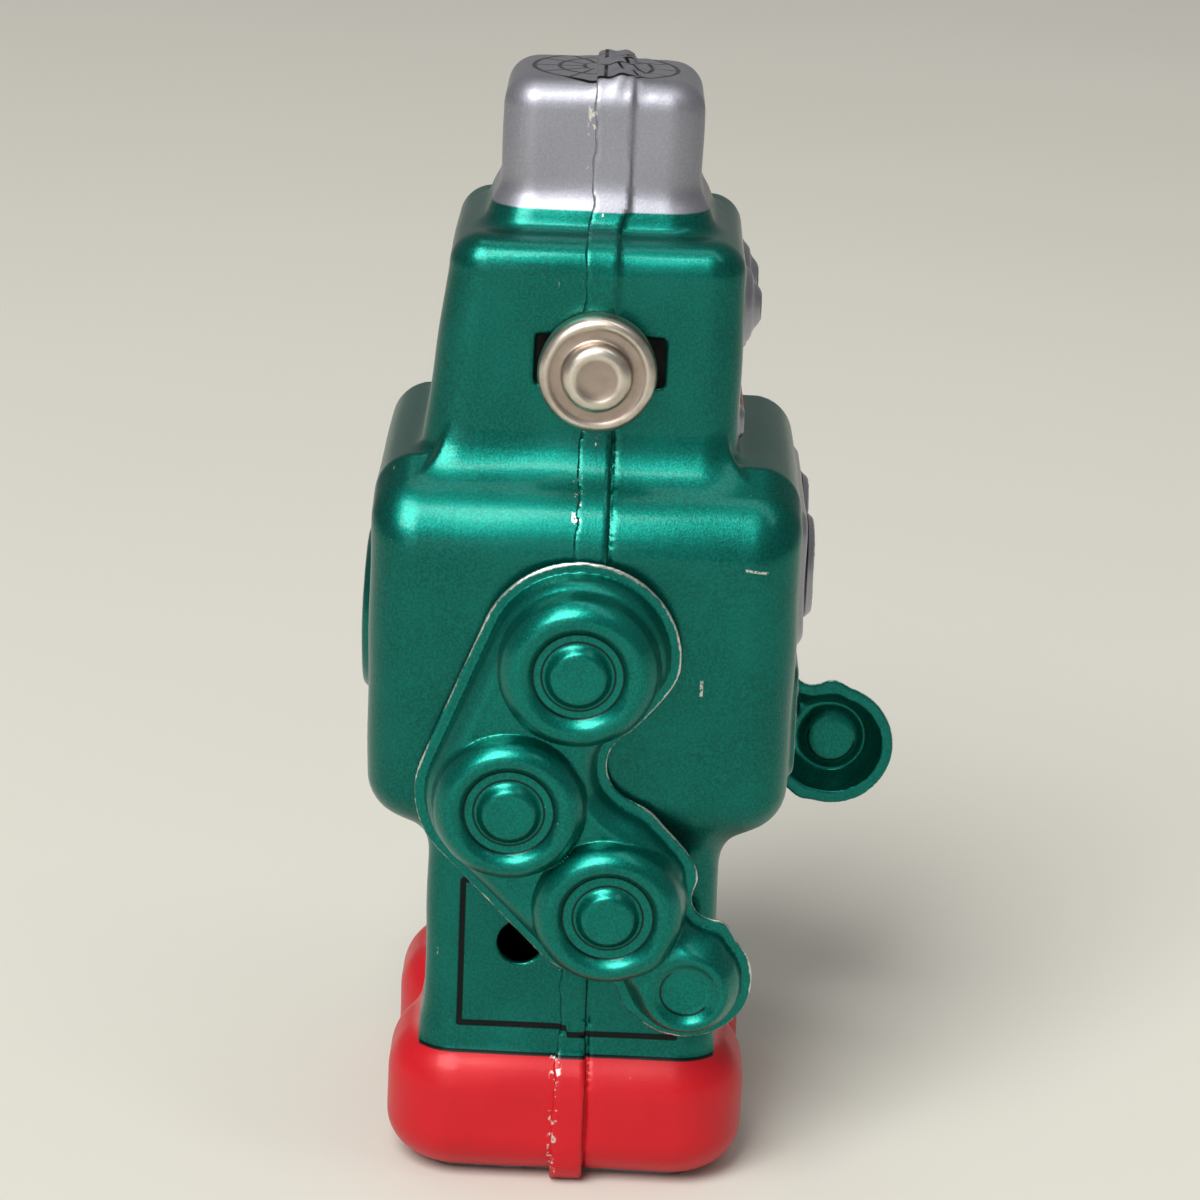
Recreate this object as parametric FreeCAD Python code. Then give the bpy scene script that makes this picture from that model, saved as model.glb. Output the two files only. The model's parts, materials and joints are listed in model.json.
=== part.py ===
"""Clockwork walking robot of pressed tinplate.

Units are millimetres.  The robot faces -Y, its right side is -X and +Z is up.  The origin is on the
table, midway between the feet.  The clockwork motor sits in the left leg and hip; its arbors lie
along X.
"""
import FreeCAD, Part
import math
import os

Vec = FreeCAD.Vector

# ---- driving dimensions: body shells ----
TIN = 0.35                      # thickness of the tinplate
SEAM_HALF_WIDTH = 1.4           # the front half's flange that laps over the rear half
CAP_HALF_WIDTH, CAP_HALF_DEPTH, CAP_TOP = 8.8, 10.0, 114.3
SKIRT_HALF_WIDTH, SKIRT_HALF_DEPTH, SKIRT_TOP = 10.0, 11.0, 101.7
HEAD_HALF_WIDTH, HEAD_HALF_DEPTH, HEAD_TOP = 15.0, 14.8, 99.5
CHEST_TOP, CHEST_BOTTOM = 75.6, 39.4
CHEST_HALF_WIDTH_TOP, CHEST_HALF_WIDTH_BOTTOM, CHEST_HALF_DEPTH = 22.3, 20.6, 21.4
LEG_OUTER, LEG_INNER, LEG_HALF_DEPTH = 18.0, 2.0, 15.0
FOOT_OUTER, FOOT_INNER, FOOT_HALF_DEPTH = 20.5, 1.0, 18.7
FOOT_TOP, FOOT_BOTTOM = 15.5, 0.5
OVERLAP = 3.0                   # how far one form runs into the next so that they fuse

# ---- roundings of the pressed forms: upright edges, top edges, bottom edges ----
CAP_ROUNDING = (3.0, 2.6, 0)
SKIRT_ROUNDING = (3.0, 1.0, 0)
HEAD_ROUNDING = (3.5, 3.2, 0)
CHEST_ROUNDING = (4.0, 4.0, 4.0)
LEG_ROUNDING = (3.0, 0, 0)
FOOT_ROUNDING = (7.0, 5.5, 4.5)

# ---- holes in the shells ----
SLOT_HALF_LENGTH, SLOT_HALF_HEIGHT = 6.2, 2.15
SLOT_Y, SLOT_Z = -0.6, 87.6
KEY_HOLE_RADIUS = 2.3
SHOULDER_HOLE_RADIUS = 2.25
BEYOND = 30.0                   # half size of a cutting box that reaches past the body

# ---- ear knobs: positions along X of the right one ----
KNOB_Y, KNOB_Z = -0.4, 87.0
KNOB_TAIL_X, KNOB_SEAT_X, KNOB_RIM_X, KNOB_BOSS_X = -12.6, -15.45, -19.0, -21.6
KNOB_TAIL_RADIUS, KNOB_RIM_RADIUS, KNOB_BOSS_RADIUS = 1.5, 6.0, 3.4
KNOB_RIM_ROUNDING, KNOB_BOSS_ROUNDING = 0.8, 1.6
CLIP_HALF_LENGTH, CLIP_HALF_HEIGHT, CLIP_GAP = 8.0, 4.0, 0.35

# ---- arms ----
ARM_TILT = 4.0                  # the arm leans in towards the leg at its lower end, degrees
SHOULDER_X, SHOULDER_Y, SHOULDER_Z = 22.6, 0.2, 59.2
LEFT_ARM_REST = 31.0            # how far the left arm is swung forward of the right one
ARM_CENTRES = [(0.0, 0.0), (-6.4, -15.0), (3.9, -26.2), (12.2, -35.0)]
ARM_RADII = [9.9, 9.7, 9.6, 6.8]
BOSS_RADII = [7.9, 7.6, 7.5]
FLANGE_WIDTH = 1.5
PLATEAU_HEIGHT, BOSS_HEIGHT = 3.4, 6.2
NOTCH_CENTRE, NOTCH_END, NOTCH_RADIUS = (7.0, -11.5), (14.0, -8.5), 3.8
RING_OUTER, RING_INNER, RING_DEPTH = 5.1, 3.4, 0.8
SHAFT_RADIUS = 1.25
SHAFT_INNER_X = 14.0

# ---- shoulder parts: spans are measured outwards from the arm's rim plane ----
BUSH_RADIUS, BUSH_SPAN = 2.2, (-2.6, -0.75)
BUSH_FLANGE_RADIUS, BUSH_FLANGE_SPAN = 3.4, (-3.2, -2.5)
WASHER_RADIUS, WASHER_THICKNESS = 2.6, 0.4
LEVER_LENGTH, LEVER_THICKNESS = 7.0, 0.8
LEVER_EYE_RADIUS, LEVER_TIP_RADIUS, LINK_HOLE_RADIUS = 2.4, 1.2, 0.5

# ---- clockwork ----
MODULE = 0.5
FIT = 0.05                      # radial running clearance
MESH_SLACK = 0.05               # added to each gear centre distance
ARBOR_Y, ARBOR_Z, ARBOR_RADIUS = 5.2, 26.4, 1.5
GREAT_TEETH, IDLER_PINION_TEETH = 32, 10
IDLER_TEETH, CRANK_PINION_TEETH = 28, 10
CRANK_TEETH, ESCAPE_PINION_TEETH = 24, 10
ESCAPE_TEETH, ESCAPE_RADIUS = 8, 4.2
PINION_SHAFT_RADIUS = 0.8
PLATE_INNER_X, PLATE_OUTER_X, PLATE_THICKNESS = 3.0, 12.0, 0.6
CRANK_THROW, CRANK_PIN_RADIUS, CRANK_DISC_RADIUS = 2.2, 0.6, 3.6
RIGHT_DISC_X, LEFT_DISC_X, DISC_THICKNESS = -8.8, 13.2, 0.8
ROD_THICKNESS, ROD_HALF_WIDTH = 0.8, 1.6
PUSHER_HALF_WIDTH, PUSHER_HALF_LENGTH, PUSHER_BOTTOM = 1.5, 2.5, 0.6
SOLE_THICKNESS, SOLE_CORNER = 0.5, 2.5
SOLE_INNER_INSET, SOLE_OUTER_INSET, SOLE_END_INSET = 5.2, 4.0, 5.0
SLOT_MARGIN = 0.5
ROD_GAP = 0.6                   # between a crank disc and its walking rod
ROD_EYE_RADIUS, ROD_BOTTOM = 1.9, 6.0
PIN_LENGTH = 1.8
PUSHER_ROUNDING = 0.8
ARBOR_END_X = 32.5
BRACKET_SPAN, BRACKET_BOTTOM, BRACKET_ABOVE_CRANK = (-6.0, -5.2), 42.0, 4.0
BRACKET_END_INSET = 1.5
PLATE_CORNER, PLATE_BELOW_ARBOR, PLATE_ABOVE_PALLET = 3.0, 8.0, 3.0
PLATE_FRONT_MARGIN, PLATE_REAR_MARGIN = 6.0, 7.5
PILLAR_RADIUS = 0.9
SPRING_STRIP, SPRING_PITCH, SPRING_HALF_TURNS = 0.25, 0.3, 20
SPRING_SPAN, SPRING_START_GAP, SPRING_BOX = (4.6, 8.0), 0.15, 12.0
KEY_HUB_RADIUS, KEY_HUB_START_X, KEY_HUB_END_X = 2.2, 28.5, 33.5
KEY_WING_X, KEY_WING_RADIUS, KEY_WING_OFFSET, KEY_WING_THICKNESS = 35.0, 4.2, 4.6, 0.9
KEY_EYE_RADIUS, KEY_EYE_OFFSET = 1.9, 4.9
PALLET_SPAN, PALLET_HALF_LENGTH, PALLET_HUB_RADIUS, STAFF_RADIUS = (6.9, 7.7), 3.6, 1.2, 0.6
PALLET_LOW, PALLET_HIGH = -0.5, 0.7
PALLET_FACE_OFFSET, PALLET_FACE_HALF_WIDTH, PALLET_FACE_DROP = 3.2, 0.4, 2.2
RATCHET_TEETH, RATCHET_TIP, RATCHET_ROOT, RATCHET_SPAN = 12, 3.3, 2.6, (8.4, 9.2)
CLICK_SPAN, CLICK_HALF_LENGTH, CLICK_LOW, CLICK_HIGH = (8.4, 9.6), 1.5, 3.5, 4.5
GREAT_SPAN, IDLER_PINION_SPAN, IDLER_SPAN = (9.6, 10.4), (9.4, 10.6), (10.9, 11.5)
CRANK_PINION_SPAN, CRANK_SPAN = (10.8, 11.6), (5.0, 5.6)
ESCAPE_PINION_SPAN, ESCAPE_SPAN, ESCAPE_ROOT = (4.8, 5.8), (7.0, 7.6), 2.2
PALLET_ABOVE_ESCAPE = 2.6
RATCHET_LEAN, ESCAPE_LEAN = 0.85, 0.8   # how far a tip leads its root, in steps
PRESSURE_ANGLE = math.radians(20)
ADDENDUM, DEDENDUM = 0.85, 1.25 # in modules
TOOTH_THINNING = 0.28           # keeps the flanks clear of each other


def ahead(point, distance, angle):
    """A point in the Y-Z plane, at a distance and an angle measured from +Z towards +Y."""
    turn = math.radians(angle)
    return (point[0] + distance * math.sin(turn), point[1] + distance * math.cos(turn))


def centre_distance(teeth_a, teeth_b):
    return MODULE * (teeth_a + teeth_b) / 2 + MESH_SLACK


ARBOR = (ARBOR_Y, ARBOR_Z)
IDLER = ahead(ARBOR, centre_distance(GREAT_TEETH, IDLER_PINION_TEETH), -28)
CRANK = ahead(IDLER, centre_distance(IDLER_TEETH, CRANK_PINION_TEETH), -15)
ESCAPE = ahead(CRANK, centre_distance(CRANK_TEETH, ESCAPE_PINION_TEETH), 10)
PALLET = ahead(ESCAPE, ESCAPE_RADIUS + PALLET_ABOVE_ESCAPE, 0)


# ---- small helpers ----
def box(x0, x1, y0, y1, z0, z1):
    return Part.makeBox(x1 - x0, y1 - y0, z1 - z0, Vec(x0, y0, z0))


def disc(radius, x0, x1, centre):
    """A cylinder along X about a point of the Y-Z plane."""
    return Part.makeCylinder(radius, x1 - x0, Vec(x0, centre[0], centre[1]), Vec(1, 0, 0))


def ring(outer, inner, x0, x1, centre):
    return disc(outer, x0, x1, centre).cut(disc(inner, x0 - 1, x1 + 1, centre))


def fuse(shapes):
    whole = shapes[0].multiFuse(shapes[1:]) if len(shapes) > 1 else shapes[0]
    return whole.removeSplitter()


def edges_along(shape, test):
    return [edge for edge in shape.Edges if len(edge.Vertexes) == 2 and test(edge)]


def rounded(shape, upright, top, bottom):
    """Round the upright edges of a box-like form, then its top edges and its bottom edges."""
    low, high = shape.BoundBox.ZMin, shape.BoundBox.ZMax

    def is_upright(edge):
        return abs(edge.Vertexes[0].Z - edge.Vertexes[1].Z) > 0.9 * (high - low)

    shape = shape.makeFillet(upright, edges_along(shape, is_upright))
    for level, radius in ((high, top), (low, bottom)):
        if radius > 0:
            flat = [edge for edge in shape.Edges
                    if abs(edge.BoundBox.ZMin - level) < 0.01 and abs(edge.BoundBox.ZMax - level) < 0.01]
            shape = shape.makeFillet(radius, flat)
    return shape


def grown(rounding, grow):
    return [radius + grow if radius > 0 else 0 for radius in rounding]


def chest_block(grow):
    """The chest is wider at the top than at the bottom, seen from the front."""
    low, high = CHEST_BOTTOM - grow, CHEST_TOP + grow
    wide, narrow = CHEST_HALF_WIDTH_TOP + grow, CHEST_HALF_WIDTH_BOTTOM + grow
    depth = CHEST_HALF_DEPTH + grow
    corners = [(-narrow, low), (narrow, low), (wide, high), (-wide, high), (-narrow, low)]
    outline = Part.makePolygon([Vec(x, -depth, z) for x, z in corners])
    return Part.Face(outline).extrude(Vec(0, 2 * depth, 0))


def body_form(grow):
    """The whole pressed outline of cap, head, chest, legs and feet, grown or shrunk by an offset."""
    g = grow

    def half_sizes(half_width, half_depth, low, high):
        return box(-half_width - g, half_width + g, -half_depth - g, half_depth + g, low, high)

    forms = [
        (CAP_HALF_WIDTH, CAP_HALF_DEPTH, HEAD_TOP - OVERLAP, CAP_TOP + g, CAP_ROUNDING),
        (SKIRT_HALF_WIDTH, SKIRT_HALF_DEPTH, HEAD_TOP - OVERLAP, SKIRT_TOP + g, SKIRT_ROUNDING),
        (HEAD_HALF_WIDTH, HEAD_HALF_DEPTH, CHEST_TOP - OVERLAP, HEAD_TOP + g, HEAD_ROUNDING),
    ]
    pieces = [rounded(half_sizes(*form[:4]), *grown(form[4], g)) for form in forms]
    pieces.append(rounded(chest_block(g), *grown(CHEST_ROUNDING, g)))
    for side in (-1, 1):
        xs = sorted((side * (LEG_INNER - g), side * (LEG_OUTER + g)))
        leg = box(xs[0], xs[1], -LEG_HALF_DEPTH - g, LEG_HALF_DEPTH + g,
                  FOOT_TOP - OVERLAP, CHEST_BOTTOM + OVERLAP)
        pieces.append(rounded(leg, *grown(LEG_ROUNDING, g)))
        xs = sorted((side * (FOOT_INNER - g), side * (FOOT_OUTER + g)))
        foot = box(xs[0], xs[1], -FOOT_HALF_DEPTH - g, FOOT_HALF_DEPTH + g, FOOT_BOTTOM - g, FOOT_TOP + g)
        pieces.append(rounded(foot, *grown(FOOT_ROUNDING, g)))
    return fuse(pieces)


def pusher_slot(side, z0, z1, margin):
    """The opening under a foot that its pusher dips through, over the whole turn of the crank."""
    middle = rod_x(side) + ROD_THICKNESS / 2
    wide = PUSHER_HALF_WIDTH + margin
    reach = CRANK_THROW + PUSHER_HALF_LENGTH + margin
    return box(middle - wide, middle + wide, CRANK[0] - reach, CRANK[0] + reach, z0, z1)


def rod_x(side):
    """Inner face of a walking rod; it runs on the crank pin, just outboard of the crank disc."""
    if side > 0:
        return LEFT_DISC_X + DISC_THICKNESS + ROD_GAP
    return RIGHT_DISC_X - DISC_THICKNESS - ROD_GAP - ROD_THICKNESS


def shoulder_frame(side):
    """Origin and outward direction of a shoulder axis."""
    tilt = math.radians(ARM_TILT)
    return Vec(side * SHOULDER_X, SHOULDER_Y, SHOULDER_Z), Vec(side * math.cos(tilt), 0, -math.sin(tilt))


def shoulder_rod(side, radius, start, end):
    """A cylinder on the shoulder axis, from start to end measured outwards from the arm's rim plane."""
    origin, outward = shoulder_frame(side)
    return Part.makeCylinder(radius, end - start, origin + outward * start, outward)


def make_shells():
    outer, inner, lap = body_form(0), body_form(-TIN), body_form(TIN)
    wall = outer.cut(inner)
    above_soles, above_cap = FOOT_BOTTOM + 0.1, CAP_TOP + 6
    strip = box(-BEYOND, BEYOND, -SEAM_HALF_WIDTH, SEAM_HALF_WIDTH, above_soles, above_cap)
    strip = lap.cut(outer).common(strip)
    slot_reach = HEAD_HALF_WIDTH + OVERLAP
    holes = [
        box(-slot_reach, slot_reach, SLOT_Y - SLOT_HALF_LENGTH, SLOT_Y + SLOT_HALF_LENGTH,
            SLOT_Z - SLOT_HALF_HEIGHT, SLOT_Z + SLOT_HALF_HEIGHT),
        disc(KEY_HOLE_RADIUS, LEG_OUTER - 2, LEG_OUTER + 2, ARBOR),
        disc(KEY_HOLE_RADIUS, -LEG_OUTER - 2, -LEG_OUTER + 2, ARBOR),
    ]
    for side in (-1, 1):
        holes.append(shoulder_rod(side, SHOULDER_HOLE_RADIUS, -4, 2))
        holes.append(pusher_slot(side, -1, 2, SLOT_MARGIN))
    front = wall.common(box(-BEYOND, BEYOND, -BEYOND, 0, -1, above_cap)).fuse(strip)
    rear = wall.common(box(-BEYOND, BEYOND, 0, BEYOND, -1, above_cap))
    for hole in holes:
        front = front.cut(hole)
        rear = rear.cut(hole)
    return front, rear


def make_sole_plate(side):
    xs = sorted((side * (FOOT_INNER + SOLE_INNER_INSET), side * (FOOT_OUTER - SOLE_OUTER_INSET)))
    half_depth = FOOT_HALF_DEPTH - SOLE_END_INSET
    plate = box(xs[0], xs[1], -half_depth, half_depth, 0, SOLE_THICKNESS)
    upright = edges_along(plate, lambda edge: abs(edge.Vertexes[0].Z - edge.Vertexes[1].Z) > 0.1)
    plate = plate.makeFillet(SOLE_CORNER, upright)
    return plate.cut(pusher_slot(side, -1, 2, SLOT_MARGIN))


# ---- ear knobs ----
def make_ear_knob():
    """Right-hand knob: a tail for the clip, a rimmed disc and a rounded boss, along -X."""
    centre = (KNOB_Y, KNOB_Z)
    tail = disc(KNOB_TAIL_RADIUS, KNOB_SEAT_X, KNOB_TAIL_X, centre)
    rim = disc(KNOB_RIM_RADIUS, KNOB_RIM_X, KNOB_SEAT_X, centre)
    boss = disc(KNOB_BOSS_RADIUS, KNOB_BOSS_X, KNOB_RIM_X, centre)
    rim = rim.makeFillet(KNOB_RIM_ROUNDING, edges_at_x(rim, KNOB_RIM_X))
    boss = boss.makeFillet(KNOB_BOSS_ROUNDING, edges_at_x(boss, KNOB_BOSS_X))
    return fuse([tail, rim, boss])


def edges_at_x(shape, x):
    return [edge for edge in shape.Edges
            if abs(edge.BoundBox.XMin - x) < 0.01 and abs(edge.BoundBox.XMax - x) < 0.01]


def make_ear_clip():
    """Spring plate inside the head that the knob's tail is pushed through."""
    x1 = -HEAD_HALF_WIDTH + TIN + CLIP_GAP
    plate = box(x1 - TIN, x1, KNOB_Y - CLIP_HALF_LENGTH, KNOB_Y + CLIP_HALF_LENGTH,
                KNOB_Z - CLIP_HALF_HEIGHT, KNOB_Z + CLIP_HALF_HEIGHT)
    return plate.cut(disc(KNOB_TAIL_RADIUS, x1 - 2, x1 + 2, (KNOB_Y, KNOB_Z)))


# ---- arms ----
def tangent_strip(a, ra, b, rb):
    """The four-sided piece between the two outer tangents of a pair of circles."""
    along = math.atan2(b[1] - a[1], b[0] - a[0])
    lean = math.acos((ra - rb) / math.dist(a, b))
    points = []
    for centre, radius, sign in ((a, ra, 1), (b, rb, 1), (b, rb, -1), (a, ra, -1)):
        angle = along + sign * lean
        points.append(Vec(centre[0] + radius * math.cos(angle), centre[1] + radius * math.sin(angle), 0))
    return Part.makePolygon(points + points[:1])


def arm_slab(inset, low, high):
    """The arm's outline, shrunk by an inset, as a slab between two levels."""
    radii = [radius - inset for radius in ARM_RADII]
    height = high - low
    pieces = [Part.makeCylinder(radius, height, Vec(u, v, low)) for (u, v), radius in zip(ARM_CENTRES, radii)]
    for i in range(3):
        strip = tangent_strip(ARM_CENTRES[i], radii[i], ARM_CENTRES[i + 1], radii[i + 1])
        slab = Part.Face(strip).extrude(Vec(0, 0, height))
        slab.translate(Vec(0, 0, low))
        pieces.append(slab)
    slab = fuse(pieces)
    reach = NOTCH_RADIUS + inset
    notch = [Part.makeCylinder(reach, height + 2, Vec(u, v, low - 1)) for u, v in (NOTCH_CENTRE, NOTCH_END)]
    opening = Part.Face(tangent_strip(NOTCH_CENTRE, reach, NOTCH_END, reach)).extrude(Vec(0, 0, height + 2))
    opening.translate(Vec(0, 0, low - 1))
    for cutter in notch + [opening]:
        slab = slab.cut(cutter)
    return slab


def arm_form(grow, low):
    """Flange, raised plateau and three ringed bosses, as one solid that reaches down to a level."""
    pieces = [arm_slab(FLANGE_WIDTH - grow, low, PLATEAU_HEIGHT + grow)]
    top = BOSS_HEIGHT + grow
    for (u, v), radius in zip(ARM_CENTRES, BOSS_RADII):
        boss = Part.makeCylinder(radius + grow, top - low, Vec(u, v, low))
        trench = Part.makeCylinder(RING_OUTER - grow, RING_DEPTH, Vec(u, v, top - RING_DEPTH))
        button = Part.makeCylinder(RING_INNER + grow, RING_DEPTH, Vec(u, v, top - RING_DEPTH))
        pieces.append(boss.cut(trench.cut(button)))
    return fuse(pieces)


def place_right_arm(shape):
    """From arm coordinates (forward, up, outward) to the robot's right side."""
    tilt = math.radians(ARM_TILT)
    s, c = math.sin(tilt), math.cos(tilt)
    matrix = FreeCAD.Matrix(0, -s, -c, -SHOULDER_X,
                            -1, 0, 0, SHOULDER_Y,
                            0, c, -s, SHOULDER_Z,
                            0, 0, 0, 1)
    return moved(shape, matrix)


def moved(shape, matrix):
    copy = shape.copy()
    copy.Placement = FreeCAD.Placement(matrix).multiply(copy.Placement)
    return copy


def make_arm():
    flange = arm_slab(0, 0, TIN)
    shell = fuse([flange, arm_form(0, 0)]).cut(arm_form(-TIN, -1))
    return place_right_arm(shell)


def to_left(shape):
    return shape.mirror(Vec(0, 0, 0), Vec(1, 0, 0))


def swing_left(shape):
    """Turn a left arm piece forward about its shoulder axis to its rest place."""
    origin, outward = shoulder_frame(1)
    turned = shape.copy()
    turned.rotate(origin, outward * -1, LEFT_ARM_REST)
    return turned


def shaft_inner_end():
    """Where the shoulder shaft stops inside the body, measured outwards from the arm's rim plane."""
    return -(SHOULDER_X - SHAFT_INNER_X) / math.cos(math.radians(ARM_TILT))


def make_shoulder_shaft():
    return shoulder_rod(-1, SHAFT_RADIUS, shaft_inner_end(), BOSS_HEIGHT - RING_DEPTH - 2 * TIN)


def make_arm_lever():
    """Lever on the inner end of a shoulder shaft, with a hole for a link."""
    tip = Vec(0, -LEVER_LENGTH, 0)
    bar = Part.makeBox(2 * LEVER_TIP_RADIUS, LEVER_LENGTH, LEVER_THICKNESS, tip - Vec(LEVER_TIP_RADIUS, 0, 0))
    lever = fuse([Part.makeCylinder(LEVER_EYE_RADIUS, LEVER_THICKNESS, Vec(0, 0, 0)), bar,
                  Part.makeCylinder(LEVER_TIP_RADIUS, LEVER_THICKNESS, tip)])
    for radius, centre in ((SHAFT_RADIUS, Vec(0, 0, 0)), (LINK_HOLE_RADIUS, tip)):
        lever = lever.cut(Part.makeCylinder(radius, 3, centre - Vec(0, 0, 1)))
    lever.translate(Vec(0, 0, shaft_inner_end() + 0.2))
    return place_right_arm(lever)


def make_shoulder_bush():
    """Flanged bush pressed in the body wall."""
    body = shoulder_rod(-1, BUSH_RADIUS, *BUSH_SPAN)
    flange = shoulder_rod(-1, BUSH_FLANGE_RADIUS, *BUSH_FLANGE_SPAN)
    return fuse([body, flange]).cut(shoulder_rod(-1, SHAFT_RADIUS + FIT, -5, 3))


def make_shaft_washer():
    return shoulder_rod(-1, WASHER_RADIUS, 0, WASHER_THICKNESS).cut(shoulder_rod(-1, SHAFT_RADIUS, -1, 2))


# ---- clockwork ----
def gear(teeth, x0, x1, centre, bore, toward):
    """Spur gear with involute flanks.  toward is the angle, in the Y-Z plane, of one tooth's middle."""
    pitch_r = MODULE * teeth / 2
    base_r = pitch_r * math.cos(PRESSURE_ANGLE)
    tip_r = pitch_r + ADDENDUM * MODULE
    root_r = pitch_r - DEDENDUM * MODULE
    half_tooth = (math.pi / 2 - TOOTH_THINNING) / teeth

    def involute(angle):
        return math.tan(angle) - angle

    def half_angle(radius):
        at_pitch = involute(PRESSURE_ANGLE)
        here = involute(math.acos(min(1, base_r / max(radius, base_r))))
        return half_tooth + at_pitch - here

    levels = [root_r, max(base_r, root_r + 0.01), (pitch_r + base_r) / 2,
              pitch_r, (pitch_r + tip_r) / 2, tip_r]
    flank = [(radius, half_angle(radius)) for radius in levels]
    points = []
    for tooth in range(teeth):
        middle = math.radians(toward) + 2 * math.pi * tooth / teeth
        sides = [(r, middle - a) for r, a in flank] + [(r, middle + a) for r, a in reversed(flank)]
        for radius, angle in sides:
            points.append(Vec(x0, centre[0] + radius * math.cos(angle), centre[1] + radius * math.sin(angle)))
    body = Part.Face(Part.makePolygon(points + points[:1])).extrude(Vec(x1 - x0, 0, 0))
    return body.cut(disc(bore, x0 - 1, x1 + 1, centre))


def heading(start, end):
    """Angle of the line from one arbor to another, in degrees, from +Y towards +Z."""
    return math.degrees(math.atan2(end[1] - start[1], end[0] - start[0]))


def facing_gap(teeth, start, end):
    """Turn that puts a tooth gap of the gear at start on the line towards end."""
    return heading(start, end) + 180 / teeth


def star(points_count, tip, root, x0, x1, centre, bore, lean):
    """Pointed wheel, such as a ratchet or an escape wheel; lean slants every tooth."""
    corners = []
    for i in range(points_count):
        step = 2 * math.pi / points_count
        for radius, angle in ((root, i * step), (tip, (i + lean) * step)):
            y, z = centre[0] + radius * math.cos(angle), centre[1] + radius * math.sin(angle)
            corners.append(Vec(x0, y, z))
    body = Part.Face(Part.makePolygon(corners + corners[:1])).extrude(Vec(x1 - x0, 0, 0))
    return body.cut(disc(bore, x0 - 1, x1 + 1, centre))


def make_motor_plate(x0):
    low, high = ARBOR[1] - PLATE_BELOW_ARBOR, PALLET[1] + PLATE_ABOVE_PALLET
    front, rear = CRANK[0] - PLATE_FRONT_MARGIN, ARBOR[0] + PLATE_REAR_MARGIN
    plate = box(x0, x0 + PLATE_THICKNESS, front, rear, low, high)
    upright = edges_along(plate, lambda edge: abs(edge.Vertexes[0].X - edge.Vertexes[1].X) > 0.1)
    plate = plate.makeFillet(PLATE_CORNER, upright)
    holes = [(ARBOR, ARBOR_RADIUS), (IDLER, PINION_SHAFT_RADIUS), (CRANK, SHAFT_RADIUS),
             (ESCAPE, PINION_SHAFT_RADIUS), (PALLET, STAFF_RADIUS)]
    for centre, radius in holes:
        plate = plate.cut(disc(radius + FIT, x0 - 1, x0 + 2, centre))
    return plate


def make_pillars():
    """Three pillars between the motor plates; the lowest holds the mainspring's outer end."""
    x0, x1 = PLATE_INNER_X + PLATE_THICKNESS, PLATE_OUTER_X
    upper_z = PALLET[1] + 1.0
    places = [(ARBOR[0] - 9.7, ARBOR[1] - 5.6), (ARBOR[0] + 5.8, upper_z), (CRANK[0] - 4.6, upper_z)]
    return Part.makeCompound([disc(PILLAR_RADIUS, x0, x1, place) for place in places])


def make_mainspring():
    """Flat spiral of half rings whose centres step sideways, one strip from inside to outside."""
    x0, x1 = SPRING_SPAN
    radius = ARBOR_RADIUS + SPRING_START_GAP
    pieces = []
    for half in range(SPRING_HALF_TURNS):
        upper = half % 2 == 0
        centre = (ARBOR[0] + (0 if upper else SPRING_PITCH), ARBOR[1])
        whole = ring(radius + SPRING_STRIP, radius, x0, x1, centre)
        z0 = ARBOR[1] if upper else ARBOR[1] - SPRING_BOX
        half_space = box(x0 - 1, x1 + 1, ARBOR[0] - SPRING_BOX, ARBOR[0] + SPRING_BOX, z0, z0 + SPRING_BOX)
        pieces.append(whole.common(half_space))
        radius += SPRING_PITCH
    return fuse(pieces)


def make_winding_key():
    """Key on the squared end of the winding arbor, outside the left leg and clear of the arm."""
    hub = ring(KEY_HUB_RADIUS, ARBOR_RADIUS, KEY_HUB_START_X, ARBOR_END_X, ARBOR)
    hub = hub.fuse(disc(KEY_HUB_RADIUS, ARBOR_END_X, KEY_HUB_END_X, ARBOR))
    upward = Vec(0, 0, 1)
    wings = []
    for sign in (-1, 1):
        middle = Vec(KEY_WING_X, ARBOR[0] + sign * KEY_WING_OFFSET, ARBOR[1] - KEY_WING_THICKNESS / 2)
        eye_foot = Vec(KEY_WING_X, ARBOR[0] + sign * KEY_EYE_OFFSET, ARBOR[1] - 1.5)
        wing = Part.makeCylinder(KEY_WING_RADIUS, KEY_WING_THICKNESS, middle, upward)
        wings.append(wing.cut(Part.makeCylinder(KEY_EYE_RADIUS, 3, eye_foot, upward)))
    return fuse([hub] + wings)


def make_pallet():
    """Rocking arm over the escape wheel, with two drooping faces that stay just clear of it."""
    x0, x1 = PALLET_SPAN
    y, z = PALLET
    arm = box(x0, x1, y - PALLET_HALF_LENGTH, y + PALLET_HALF_LENGTH, z + PALLET_LOW, z + PALLET_HIGH)
    faces = []
    for sign in (-1, 1):
        middle = y + sign * PALLET_FACE_OFFSET
        faces.append(box(x0, x1, middle - PALLET_FACE_HALF_WIDTH, middle + PALLET_FACE_HALF_WIDTH,
                         z - PALLET_FACE_DROP, z))
    hub = disc(PALLET_HUB_RADIUS, x0, x1, PALLET)
    return fuse([arm, hub] + faces).cut(disc(STAFF_RADIUS, x0 - 1, x1 + 1, PALLET))


def make_walking_rod(side):
    """Strip from the crank pin down the leg; the crank carries it round without turning it."""
    x0 = rod_x(side)
    pin = (CRANK[0] + side * CRANK_THROW, CRANK[1])
    eye = disc(ROD_EYE_RADIUS, x0, x0 + ROD_THICKNESS, pin)
    strip = box(x0, x0 + ROD_THICKNESS, pin[0] - ROD_HALF_WIDTH, pin[0] + ROD_HALF_WIDTH, ROD_BOTTOM, pin[1])
    rod = fuse([eye, strip])
    return rod.cut(disc(CRANK_PIN_RADIUS + FIT, x0 - 1, x0 + 2, pin))


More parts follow.
